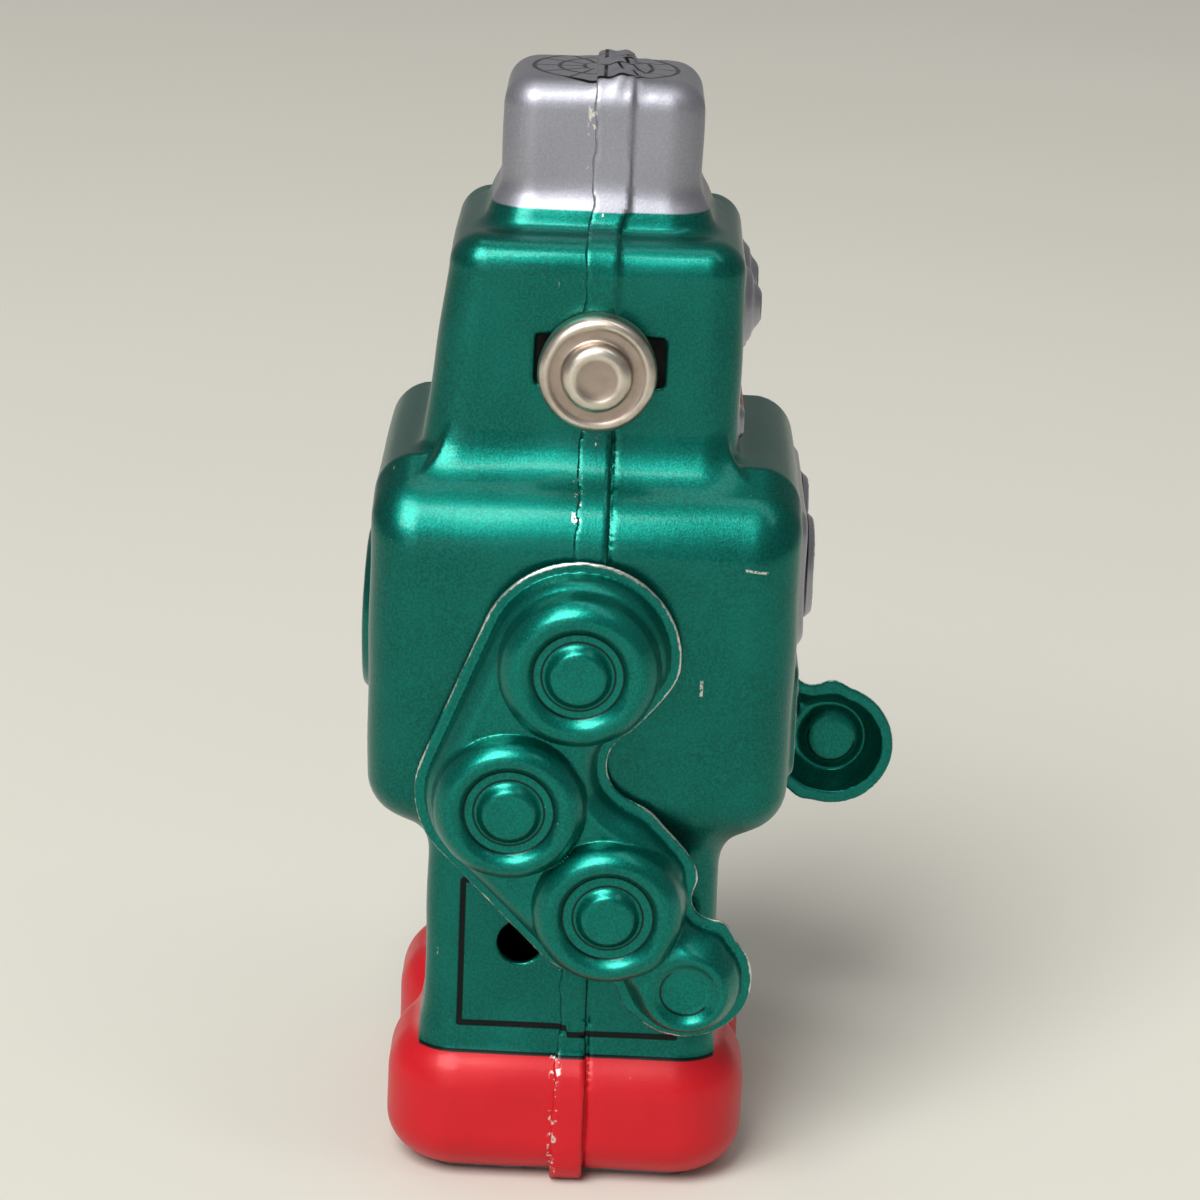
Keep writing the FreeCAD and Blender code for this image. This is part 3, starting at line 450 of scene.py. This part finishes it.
# ---------------------------------------------------------------------------- materials
class Graph:
    """Short names for the shader nodes that the materials below use."""

    def __init__(self, name):
        self.material = bpy.data.materials.new(name)
        self.material.use_nodes = True
        self.nodes = self.material.node_tree.nodes
        self.links = self.material.node_tree.links
        self.shader = self.nodes["Principled BSDF"]
        place = self.nodes.new("ShaderNodeTexCoord")
        scale = self.nodes.new("ShaderNodeVectorMath")
        scale.operation = "SCALE"
        scale.inputs["Scale"].default_value = 1 / MM
        self.links.new(place.outputs["Object"], scale.inputs[0])
        self.point = scale.outputs[0]
        split = self.nodes.new("ShaderNodeSeparateXYZ")
        self.links.new(self.point, split.inputs[0])
        self.x, self.y, self.z = split.outputs

    def put(self, socket, value):
        if isinstance(value, bpy.types.NodeSocket):
            self.links.new(value, socket)
        else:
            socket.default_value = value

    def math(self, operation, *values):
        node = self.nodes.new("ShaderNodeMath")
        node.operation = operation
        for socket, value in zip(node.inputs, values):
            self.put(socket, value)
        return node.outputs[0]

    def add(self, a, b):
        return self.math("ADD", a, b)

    def sub(self, a, b):
        return self.math("SUBTRACT", a, b)

    def mul(self, a, b):
        return self.math("MULTIPLY", a, b)

    def both(self, a, b):
        return self.math("MINIMUM", a, b)

    def either(self, a, b):
        return self.math("MAXIMUM", a, b)

    def size(self, a):
        return self.math("ABSOLUTE", a)

    def step(self, value, low, high):
        """0 below low, 1 above high, smooth between; low may be the larger one."""
        node = self.nodes.new("ShaderNodeMapRange")
        node.interpolation_type = "SMOOTHSTEP"
        flip = low > high
        self.put(node.inputs["Value"], value)
        node.inputs["From Min"].default_value = min(low, high)
        node.inputs["From Max"].default_value = max(low, high)
        node.inputs["To Min"].default_value = 1.0 if flip else 0.0
        node.inputs["To Max"].default_value = 0.0 if flip else 1.0
        return node.outputs["Result"]

    def line(self, distance, half_width, soft=0.08):
        return self.step(self.size(distance), half_width + soft, half_width - soft * 0.5)

    def length(self, a, b):
        return self.math("SQRT", self.add(self.mul(a, a), self.mul(b, b)))

    def inside(self, across, up, half_x, half_z, corner):
        """1 inside a rectangle with rounded corners."""
        out_x = self.either(self.sub(self.size(across), half_x - corner), 0.0)
        out_z = self.either(self.sub(self.size(up), half_z - corner), 0.0)
        return self.step(self.length(out_x, out_z), corner + 0.1, corner - 0.1)

    def noise(self, scale, detail=2.0, rough=0.5, stretch=None):
        node = self.nodes.new("ShaderNodeTexNoise")
        node.inputs["Scale"].default_value = scale
        node.inputs["Detail"].default_value = detail
        node.inputs["Roughness"].default_value = rough
        vector = self.point
        if stretch:
            scaled = self.nodes.new("ShaderNodeVectorMath")
            scaled.operation = "MULTIPLY"
            self.links.new(self.point, scaled.inputs[0])
            scaled.inputs[1].default_value = stretch
            vector = scaled.outputs[0]
        self.links.new(vector, node.inputs["Vector"])
        return node.outputs["Fac"]

    def blend(self, factor, a, b):
        node = self.nodes.new("ShaderNodeMix")
        node.data_type = "RGBA"
        self.put(node.inputs[0], factor)
        for socket, value in ((node.inputs[6], a), (node.inputs[7], b)):
            self.put(socket, value if isinstance(value, bpy.types.NodeSocket) else (*value, 1.0))
        return node.outputs[2]

    def pick(self, factor, a, b):
        node = self.nodes.new("ShaderNodeMix")
        self.put(node.inputs[0], factor)
        self.put(node.inputs[2], a)
        self.put(node.inputs[3], b)
        return node.outputs[0]

    def bump(self, height, strength, distance):
        node = self.nodes.new("ShaderNodeBump")
        node.inputs["Strength"].default_value = strength
        node.inputs["Distance"].default_value = distance
        self.links.new(height, node.inputs["Height"])
        self.links.new(node.outputs[0], self.shader.inputs["Normal"])

    def attribute(self, name):
        node = self.nodes.new("ShaderNodeAttribute")
        node.attribute_name = name
        return node.outputs["Fac"]

    def along(self, direction, origin):
        """Distance along a direction from a point, in millimetres."""
        node = self.nodes.new("ShaderNodeVectorMath")
        node.operation = "DOT_PRODUCT"
        self.links.new(self.point, node.inputs[0])
        node.inputs[1].default_value = tuple(direction)
        return self.sub(node.outputs["Value"], float(Vector(direction).dot(Vector(origin))))


GREEN, GREEN_DEEP = (0.001, 0.158, 0.125), (0.0005, 0.090, 0.070)
SILVER, RED, RED_DEEP = (0.33, 0.335, 0.385), (0.53, 0.005, 0.013), (0.42, 0.004, 0.009)
GREEN_BRIGHT, SILVER_DEEP = (0.003, 0.185, 0.148), (0.28, 0.285, 0.33)
# The arms' greens are the body's greens made about a third lighter: painted light for the brighter light on the
# arms.
ARM_LIT_GREEN, ARM_LIT_GREEN_DEEP = (0.0012, 0.205, 0.163), (0.0007, 0.125, 0.098)
ARM_LIT_GREEN_BRIGHT = (0.004, 0.225, 0.18)
# The bare tin colour also paints highlights on the feet's lap edges and the arms' top rims.
INK, BARE_TIN_AND_GLINT, DIAL_CREAM = (0.004, 0.007, 0.007), (0.72, 0.70, 0.66), (0.62, 0.60, 0.54)
NICKEL, NICKEL_STAIN, NICKEL_TARNISH = (0.62, 0.575, 0.50), (0.46, 0.39, 0.33), (0.27, 0.20, 0.165)
GREEN_METAL, RED_METAL = 0.88, 0.12
GREEN_ROUGH, RED_ROUGH, CAP_ROUGH, ARM_ROUGH = 0.33, 0.42, 0.46, 0.34
GREEN_COAT, RED_COAT = 0.18, 0.12
GRAIN = 0.00006          # depth of the paint's grain, metres
cache = {}


def once(maker):
    def cached(*args):
        key = (maker.__name__,) + args
        if key not in cache:
            cache[key] = maker(*args)
        return cache[key]
    return cached


def finish_paint(g, colour, metal, rough, wear_and_glint, ink, coat=GREEN_COAT):
    """Shared end of the printed-tin materials: ink lines, bare spots, grain and lacquer; the bare spots are wear,
    and on the feet's lap edges and the arms' top rims they are partly painted highlights.
    """
    colour = g.blend(ink, colour, INK)
    # Bare tin where worn, and painted highlights on the feet's lap edges and the arms' top rims.
    colour = g.blend(wear_and_glint, colour, BARE_TIN_AND_GLINT)
    g.links.new(colour, g.shader.inputs["Base Color"])
    g.links.new(g.pick(wear_and_glint, metal, 1.0), g.shader.inputs["Metallic"])
    rough = g.pick(ink, rough, 0.32)
    g.links.new(g.pick(wear_and_glint, rough, 0.28), g.shader.inputs["Roughness"])
    g.put(g.shader.inputs["Coat Weight"], coat)
    g.shader.inputs["Specular IOR Level"].default_value = 0.3
    g.shader.inputs["Coat Roughness"].default_value = 0.13
    grain = g.add(g.noise(5.5, 2.0), g.mul(g.noise(0.5, 3.0), 1.5))
    g.bump(grain, 0.22, GRAIN)


LEG_FRAME_Y, LEG_FRAME_TOP, LEG_FRAME_HALF = 11.2, 33.1, 0.30
LEG_FRAME_LOW_FRONT, LEG_FRAME_LOW_REAR = 16.6, 17.3
CAP_RING, CAP_MIDDLE_RING, CAP_HUB = 7.25, 4.7, 2.2
NECK_WEAR_Z, CAP_WEAR_Z, SHOULDER_WEAR_Z = 81.5, 110.2, 74.5


def foot_mask(g, depth, wide):
    """1 on the red feet: below the foot line, on the toes and heels, and between the legs."""
    past_leg = g.step(depth, 15.3, 15.6)
    foot_top = g.step(g.z, 18.2, 18.0)
    is_foot = g.either(g.step(g.z, FOOT_LINE_Z + 0.1, FOOT_LINE_Z - 0.1), g.both(past_leg, foot_top))
    between = g.both(g.step(wide, 1.95, 1.85), g.step(g.z, 16.2, 16.0))
    return g.either(is_foot, between)


def leg_ink(g, depth, wide):
    """The line above each foot and the open-topped frame printed on each leg's side."""
    foot_line = g.both(g.both(g.line(g.sub(g.z, FOOT_LINE_Z), 0.16), g.step(depth, 15.5, 15.2)),
                       g.step(wide, 1.9, 2.1))
    side_face = g.step(wide, 17.3, 17.6)
    lower = g.pick(g.step(g.y, -0.1, 0.1), LEG_FRAME_LOW_FRONT, LEG_FRAME_LOW_REAR)
    above_lower = g.step(g.sub(g.z, lower), -0.25, -0.2)
    below_top = g.step(g.z, LEG_FRAME_TOP + 0.2, LEG_FRAME_TOP)
    sides = g.both(g.line(g.sub(depth, LEG_FRAME_Y), LEG_FRAME_HALF), g.both(above_lower, below_top))
    ends = g.both(g.either(g.line(g.sub(g.z, lower), LEG_FRAME_HALF),
                           g.line(g.sub(g.z, LEG_FRAME_TOP), LEG_FRAME_HALF)),
                  g.step(depth, LEG_FRAME_Y + 0.2, LEG_FRAME_Y + 0.1))
    return g.either(foot_line, g.both(side_face, g.either(sides, ends)))


def cap_ink(g):
    """Rings and spokes printed on the cap's top."""
    radius = g.length(g.x, g.y)
    turn = g.math("ARCTAN2", g.y, g.x)
    spokes = g.size(g.math("SINE", g.mul(turn, 6.0)))
    spoke = g.both(g.step(g.mul(spokes, radius), 1.2, 0.9),
                   g.both(g.step(radius, CAP_HUB, CAP_HUB + 0.1), g.step(radius, 7.3, 7.2)))
    inner_rings = g.either(g.line(g.sub(radius, CAP_MIDDLE_RING), 0.18), g.line(g.sub(radius, CAP_HUB), 0.18))
    rings = g.either(g.line(g.sub(radius, CAP_RING), 0.2), inner_rings)
    cap_top = g.step(g.z, 113.2, 113.5)
    return g.both(cap_top, g.either(rings, spoke))


def print_face(g, colour, silver, wide):
    """Silver face with a red mouth; gives the new colour and the face's ink."""
    facing = g.step(g.y, -13.9, -14.1)
    on_head = g.both(g.both(facing, g.step(g.y, -18.2, -18.0)), g.step(g.z, 78.2, 78.4))
    face = g.both(on_head, g.inside(g.x, g.sub(g.z, 87.9), 12.0, 9.6, 1.2))
    colour = g.blend(face, colour, silver)
    mouth = g.both(on_head, g.inside(g.x, g.sub(g.z, MOUTH_Z), MOUTH_HALF_WIDTH, 1.7, 1.2))
    colour = g.blend(mouth, colour, RED)
    eye = g.length(g.sub(wide, EYE_X), g.sub(g.z, EYE_Z))
    eye_ink = g.both(on_head, g.either(g.line(g.sub(eye, 4.5), 0.22), g.step(eye, 1.7, 1.5)))
    teeth = g.both(mouth, g.step(g.math("SINE", g.mul(g.x, 2.6)), 0.75, 0.85))
    chin = g.both(on_head, g.both(g.step(wide, 8.8, 8.7), g.line(g.sub(g.z, CHIN_Z), 1.0)))
    chin = g.both(chin, g.step(g.math("SINE", g.mul(g.x, 3.6)), 0.3, 0.45))
    return colour, g.either(eye_ink, g.either(teeth, chin))


def print_dials(g, colour, silver, wide):
    """Silver panel with two cream dials; gives the new colour and the panel's ink."""
    on_chest = g.step(g.y, -21.3, -21.7)
    dial_x, dial_z = g.sub(wide, DIAL_X), g.sub(g.z, PANEL_Z)
    dial = g.length(dial_x, dial_z)
    panel = g.both(on_chest, g.inside(g.x, dial_z, 15.1, 7.3, 3.2))
    colour = g.blend(panel, colour, silver)
    colour = g.blend(g.both(panel, g.step(dial, DIAL_FACE - 0.1, DIAL_FACE - 0.3)), colour, DIAL_CREAM)
    needle = g.both(g.line(g.sub(g.mul(dial_x, 0.8), g.sub(g.z, 64.6)), 0.22), g.step(dial, 3.4, 3.2))
    turn = g.math("ARCTAN2", dial_z, dial_x)
    marks = g.both(g.line(g.sub(dial, 3.9), 0.35), g.step(g.math("SINE", g.mul(turn, 12.0)), 0.55, 0.7))
    rim = g.line(g.sub(dial, 5.6), 0.2)
    return colour, g.both(panel, g.either(g.either(rim, needle), marks))


def body_wear_and_glints(g):
    """Bare spots along the lap's rear edge, a few scratches and two rubbed lines on the chest; the bare streaks on
    the feet's lap edges, densest towards the top, are partly wear and partly a painted highlight.
    """
    chip = g.noise(2.3, 4.0, 0.65)
    fleck = g.noise(1.3, 4.0, 0.6)
    rear_edge = g.line(g.sub(g.y, 1.1), 0.35, 0.2)
    near_step = g.either(g.step(g.size(g.sub(g.z, NECK_WEAR_Z)), 1.6, 0.6),
                         g.step(g.size(g.sub(g.z, CAP_WEAR_Z)), 2.6, 1.6))
    # Painted highlight, partly wear: the lap edge on the feet gets more bare streaks, densest towards the foot's
    # top where the edge catches the light.
    near_step = g.either(near_step, g.mul(g.step(g.z, 15.5, 14.5), 0.75))
    near_step = g.either(near_step, g.mul(g.line(g.sub(g.z, SHOULDER_WEAR_Z), 3.0, 1.0), 0.65))
    wear_and_glint = g.both(rear_edge, g.step(g.add(fleck, g.mul(near_step, 0.13)), 0.66, 0.70))
    foot_edge = g.both(g.line(g.sub(g.y, 1.0), 0.45, 0.3), g.step(g.z, 14.3, 13.9))
    foot_chips_and_glint = g.add(fleck, g.mul(g.step(g.z, 8.0, 13.0), 0.17))
    wear_and_glint = g.either(wear_and_glint, g.mul(g.both(foot_edge, g.step(foot_chips_and_glint, 0.71, 0.77)), 0.75))
    scratches = g.step(g.noise(0.55, 1.0, 0.5, (1.0, 3.0, 0.35)), 0.79, 0.81)
    wear_and_glint = g.either(wear_and_glint, g.mul(g.both(scratches, g.step(chip, 0.5, 0.6)), 0.7))
    upright = g.both(g.line(g.add(g.y, 12.1), 0.12), g.line(g.sub(g.z, 56.0), 0.8))
    tilted_z = g.add(g.z, g.mul(g.y, -0.12))
    level = g.both(g.line(g.sub(tilted_z, 70.6), 0.1), g.line(g.add(g.y, 17.0), 1.1))
    return g.either(wear_and_glint, g.mul(g.both(g.either(upright, level), g.step(chip, 0.42, 0.5)), 0.8))


@once
def body_paint():
    """Printed tin of both shells: silver cap, green body, red feet, printed face and dials."""
    g = Graph("printed_tin_body")
    depth, wide = g.size(g.y), g.size(g.x)
    flake, cloud = g.noise(4.0, 2.0), g.noise(0.12, 3.0)
    green = g.blend(g.step(flake, 0.3, 0.75), GREEN_DEEP, GREEN)
    green = g.blend(g.mul(g.step(cloud, 0.35, 0.75), 0.35), green, GREEN_BRIGHT)
    red = g.blend(0.6, g.blend(g.step(cloud, 0.3, 0.7), RED_DEEP, RED), RED)
    silver = g.blend(g.step(flake, 0.25, 0.8), SILVER_DEEP, SILVER)

    is_cap = g.step(g.z, CAP_LINE_Z - 0.1, CAP_LINE_Z + 0.1)
    is_foot = foot_mask(g, depth, wide)
    colour = g.blend(is_foot, g.blend(is_cap, green, silver), red)
    colour, face_ink = print_face(g, colour, silver, wide)
    colour, dial_ink = print_dials(g, colour, silver, wide)
    ink = g.either(g.either(leg_ink(g, depth, wide), cap_ink(g)), g.either(face_ink, dial_ink))

    metal = g.pick(is_foot, GREEN_METAL, RED_METAL)
    rough = g.pick(is_cap, g.pick(is_foot, GREEN_ROUGH, RED_ROUGH), CAP_ROUGH)
    rough = g.add(rough, g.mul(g.sub(cloud, 0.5), 0.12))
    finish_paint(g, colour, metal, rough, body_wear_and_glints(g), ink, g.pick(is_foot, GREEN_COAT, RED_COAT))
    return g.material


@once
def arm_paint(side):
    g = Graph("printed_tin_arm_" + side)
    forward, up, outward = arm_axes(side)
    origin = Vector(shoulder[side])
    u, v, w = (g.along(direction, origin) for direction in (forward, up, outward))
    flake, cloud = g.noise(4.0, 2.0), g.noise(0.15, 3.0)
    # Painted light: the arm is coloured with lighter copies of the body's greens.
    colour = g.blend(g.step(flake, 0.3, 0.75), ARM_LIT_GREEN_DEEP, ARM_LIT_GREEN)
    colour = g.blend(g.mul(g.step(cloud, 0.4, 0.75), 0.3), colour, ARM_LIT_GREEN_BRIGHT)
    ink = None
    for (cu, cv), line, button in zip(ARM_CENTRES, LINE_RADII, BUTTON_RADII):
        r = g.length(g.sub(u, cu), g.sub(v, cv))
        pair = g.either(g.line(g.sub(r, line), 0.10, 0.07), g.line(g.sub(r, button + 0.15), 0.10, 0.07))
        ink = pair if ink is None else g.either(ink, pair)
    hand = g.length(g.sub(u, ARM_CENTRES[3][0]), g.sub(v, ARM_CENTRES[3][1]))
    hook = g.both(g.line(g.sub(hand, 2.6), 0.10, 0.07),
                  g.step(g.add(g.sub(u, ARM_CENTRES[3][0]), v), -34.0, -35.0))
    ink = g.mul(g.both(g.either(ink, hook), g.step(w, 1.0, 1.5)), 0.85)
    chip = g.noise(1.7, 4.0, 0.65)
    # Painted highlight, partly wear: the bare rim line is widened along the arm's top, where the edge catches the
    # light; the noise adds worn patches.
    worn_and_lit_rim = g.add(g.mul(g.step(g.add(v, g.mul(u, 0.5)), -9.0, 4.0), 0.16),
                 g.mul(g.sub(g.noise(0.25, 3.0), 0.42), 0.6))
    reach = g.sub(g.add(g.attribute("rim_distance"), g.mul(chip, 0.35)), worn_and_lit_rim)
    wear_and_glint = g.mul(g.both(g.step(reach, 0.26, 0.14), g.step(w, 0.03, 0.08)), 0.92)
    wear_and_glint = g.either(wear_and_glint, g.step(g.noise(0.8, 3.0, 0.6), 0.76, 0.79))
    rough = g.add(ARM_ROUGH, g.mul(g.sub(cloud, 0.5), 0.12))
    finish_paint(g, colour, GREEN_METAL, rough, wear_and_glint, ink)
    return g.material


@once
def nickel_metal():
    g = Graph("satin_nickel")
    stain = g.noise(0.45, 4.0, 0.6)
    colour = g.blend(g.step(stain, 0.35, 0.75), NICKEL, NICKEL_STAIN)
    radius = g.length(g.sub(g.y, KNOB_Y), g.sub(g.z, KNOB_Z))
    tarnish = g.either(g.line(g.sub(radius, 4.15), 0.6, 0.35), g.step(radius, 2.2, 1.9))
    colour = g.blend(g.mul(tarnish, 0.72), colour, NICKEL_TARNISH)
    g.links.new(colour, g.shader.inputs["Base Color"])
    g.shader.inputs["Metallic"].default_value = 1.0
    g.links.new(g.add(0.24, g.mul(stain, 0.16)), g.shader.inputs["Roughness"])
    g.bump(g.add(g.noise(6.0, 3.0), g.noise(0.6, 2.0)), 0.12, 0.00005)
    return g.material


@once
def plain_metal(name, bright, dark, rough, grain):
    g = Graph(name)
    cloud = g.noise(0.4, 3.0, 0.6)
    brush = g.noise(3.0, 2.0, 0.5, (0.3, 3.0, 3.0))
    g.links.new(g.blend(g.step(cloud, 0.3, 0.75), bright, dark), g.shader.inputs["Base Color"])
    g.shader.inputs["Metallic"].default_value = 1.0
    g.links.new(g.add(rough, g.mul(brush, 0.18)), g.shader.inputs["Roughness"])
    g.bump(brush, grain, 0.00004)
    return g.material


@once
def rubber():
    g = Graph("moulded_rubber")
    speck = g.noise(2.5, 4.0, 0.6)
    g.links.new(g.blend(speck, (0.012, 0.012, 0.012), (0.04, 0.038, 0.036)), g.shader.inputs["Base Color"])
    g.links.new(g.add(0.6, g.mul(speck, 0.2)), g.shader.inputs["Roughness"])
    g.bump(speck, 0.2, 0.00008)
    return g.material


def paint_frame():
    """Every CAD node that stays in view gets its own metal or rubber."""
    finishes = {
        "steel": ("drawn_steel", (0.55, 0.55, 0.57), (0.38, 0.38, 0.40), 0.25, 0.15),
        "spring_steel": ("blued_steel", (0.20, 0.22, 0.30), (0.12, 0.13, 0.20), 0.25, 0.12),
        "brass": ("cut_brass", (0.72, 0.52, 0.20), (0.50, 0.34, 0.12), 0.25, 0.15),
        "bare_tin": ("bare_tinplate", (0.30, 0.30, 0.30), (0.16, 0.16, 0.155), 0.40, 0.15),
        "printed_tin": ("bare_tinplate_back", (0.60, 0.60, 0.60), (0.42, 0.41, 0.40), 0.30, 0.15),
    }
    slots = {part["node"]: part["material_slot"] for part in frame["record"]["subparts"]}
    for name, node in frame["nodes"].items():
        slot = slots[name]
        if "ear_clip" in name:
            material = plain_metal("oxidised_clip", (0.016, 0.017, 0.017), (0.006, 0.006, 0.006), 0.55, 0.1)
        elif slot == "nickel":
            material = nickel_metal()
        elif slot == "rubber":
            material = rubber()
        else:
            material = plain_metal(*finishes[slot])
        for material_slot in node.material_slots:
            material_slot.material = material


# ---------------------------------------------------------------------------- floor, light, camera
FLOOR_SIZE = 8.0
FLOOR_TONES = (0.61, 0.603, 0.552), (0.65, 0.642, 0.588)
WARM, FILL_WHITE = (1.0, 0.98, 0.95), (1.0, 0.99, 0.97)
WORLD_COLOUR, WORLD_STRENGTH = (1.0, 0.98, 0.94, 1.0), 0.27
LIGHT_TARGET = (0, 0, 0.06)


def make_floor():
    bpy.ops.mesh.primitive_plane_add(size=FLOOR_SIZE, location=(0, 0, SOLE_Z * MM))
    floor = bpy.context.object
    floor.name = "floor"
    g = Graph("pale_table")
    tone = g.noise(0.004, 3.0)
    g.links.new(g.blend(tone, *FLOOR_TONES), g.shader.inputs["Base Color"])
    g.shader.inputs["Roughness"].default_value = 0.7
    g.shader.inputs["Specular IOR Level"].default_value = 0.12
    floor.data.materials.append(g.material)


def area_light(name, place, target, size, power, colour):
    light = bpy.data.lights.new(name, "AREA")
    light.shape = "RECTANGLE"
    light.size, light.size_y = size
    light.energy = power
    light.color = colour
    thing = bpy.data.objects.new(name, light)
    thing.location = place
    thing.rotation_euler = (Vector(target) - Vector(place)).to_track_quat("-Z", "Y").to_euler()
    bpy.context.scene.collection.objects.link(thing)


def make_light():
    world = bpy.data.worlds.new("studio")
    bpy.context.scene.world = world
    world.use_nodes = True
    background = world.node_tree.nodes["Background"]
    background.inputs["Color"].default_value = WORLD_COLOUR
    background.inputs["Strength"].default_value = WORLD_STRENGTH
    area_light("key", (-1.20, 0.60, 1.55), LIGHT_TARGET, (1.05, 1.3), 50.0, WARM)
    area_light("overhead", (-0.20, -0.30, 1.90), LIGHT_TARGET, (0.4, 2.2), 6.0, WARM)
    area_light("side_fill", (-2.0, 0.6, 0.50), LIGHT_TARGET, (1.2, 0.9), 4.0, FILL_WHITE)
    bpy.context.scene.view_settings.view_transform = "Standard"


CAMERA_PLACE = (-0.382, -0.0016, 0.1796)
CAMERA_PITCH, CAMERA_ROLL = math.radians(17.65), math.radians(2.4)
CAMERA_LENS, SENSOR_WIDTH = 114.42, 36.0


def make_camera():
    camera = bpy.data.cameras.new("camera")
    camera.lens = CAMERA_LENS
    camera.sensor_width = SENSOR_WIDTH
    thing = bpy.data.objects.new("camera", camera)
    ahead = Vector((math.cos(CAMERA_PITCH), 0, -math.sin(CAMERA_PITCH)))
    right = ahead.cross(Vector((0, 0, 1))).normalized()
    up = right.cross(ahead)
    turned_right = right * math.cos(CAMERA_ROLL) + up * math.sin(CAMERA_ROLL)
    turned_up = up * math.cos(CAMERA_ROLL) - right * math.sin(CAMERA_ROLL)
    matrix = Matrix((turned_right, turned_up, -ahead)).transposed().to_4x4()
    matrix.translation = Vector(CAMERA_PLACE)
    thing.matrix_world = matrix
    bpy.context.scene.collection.objects.link(thing)
    bpy.context.scene.camera = thing


make_camera()
make_body()
for side in ("right", "left"):
    make_arm(side)
    make_knob(side)
paint_frame()
make_floor()
make_light()
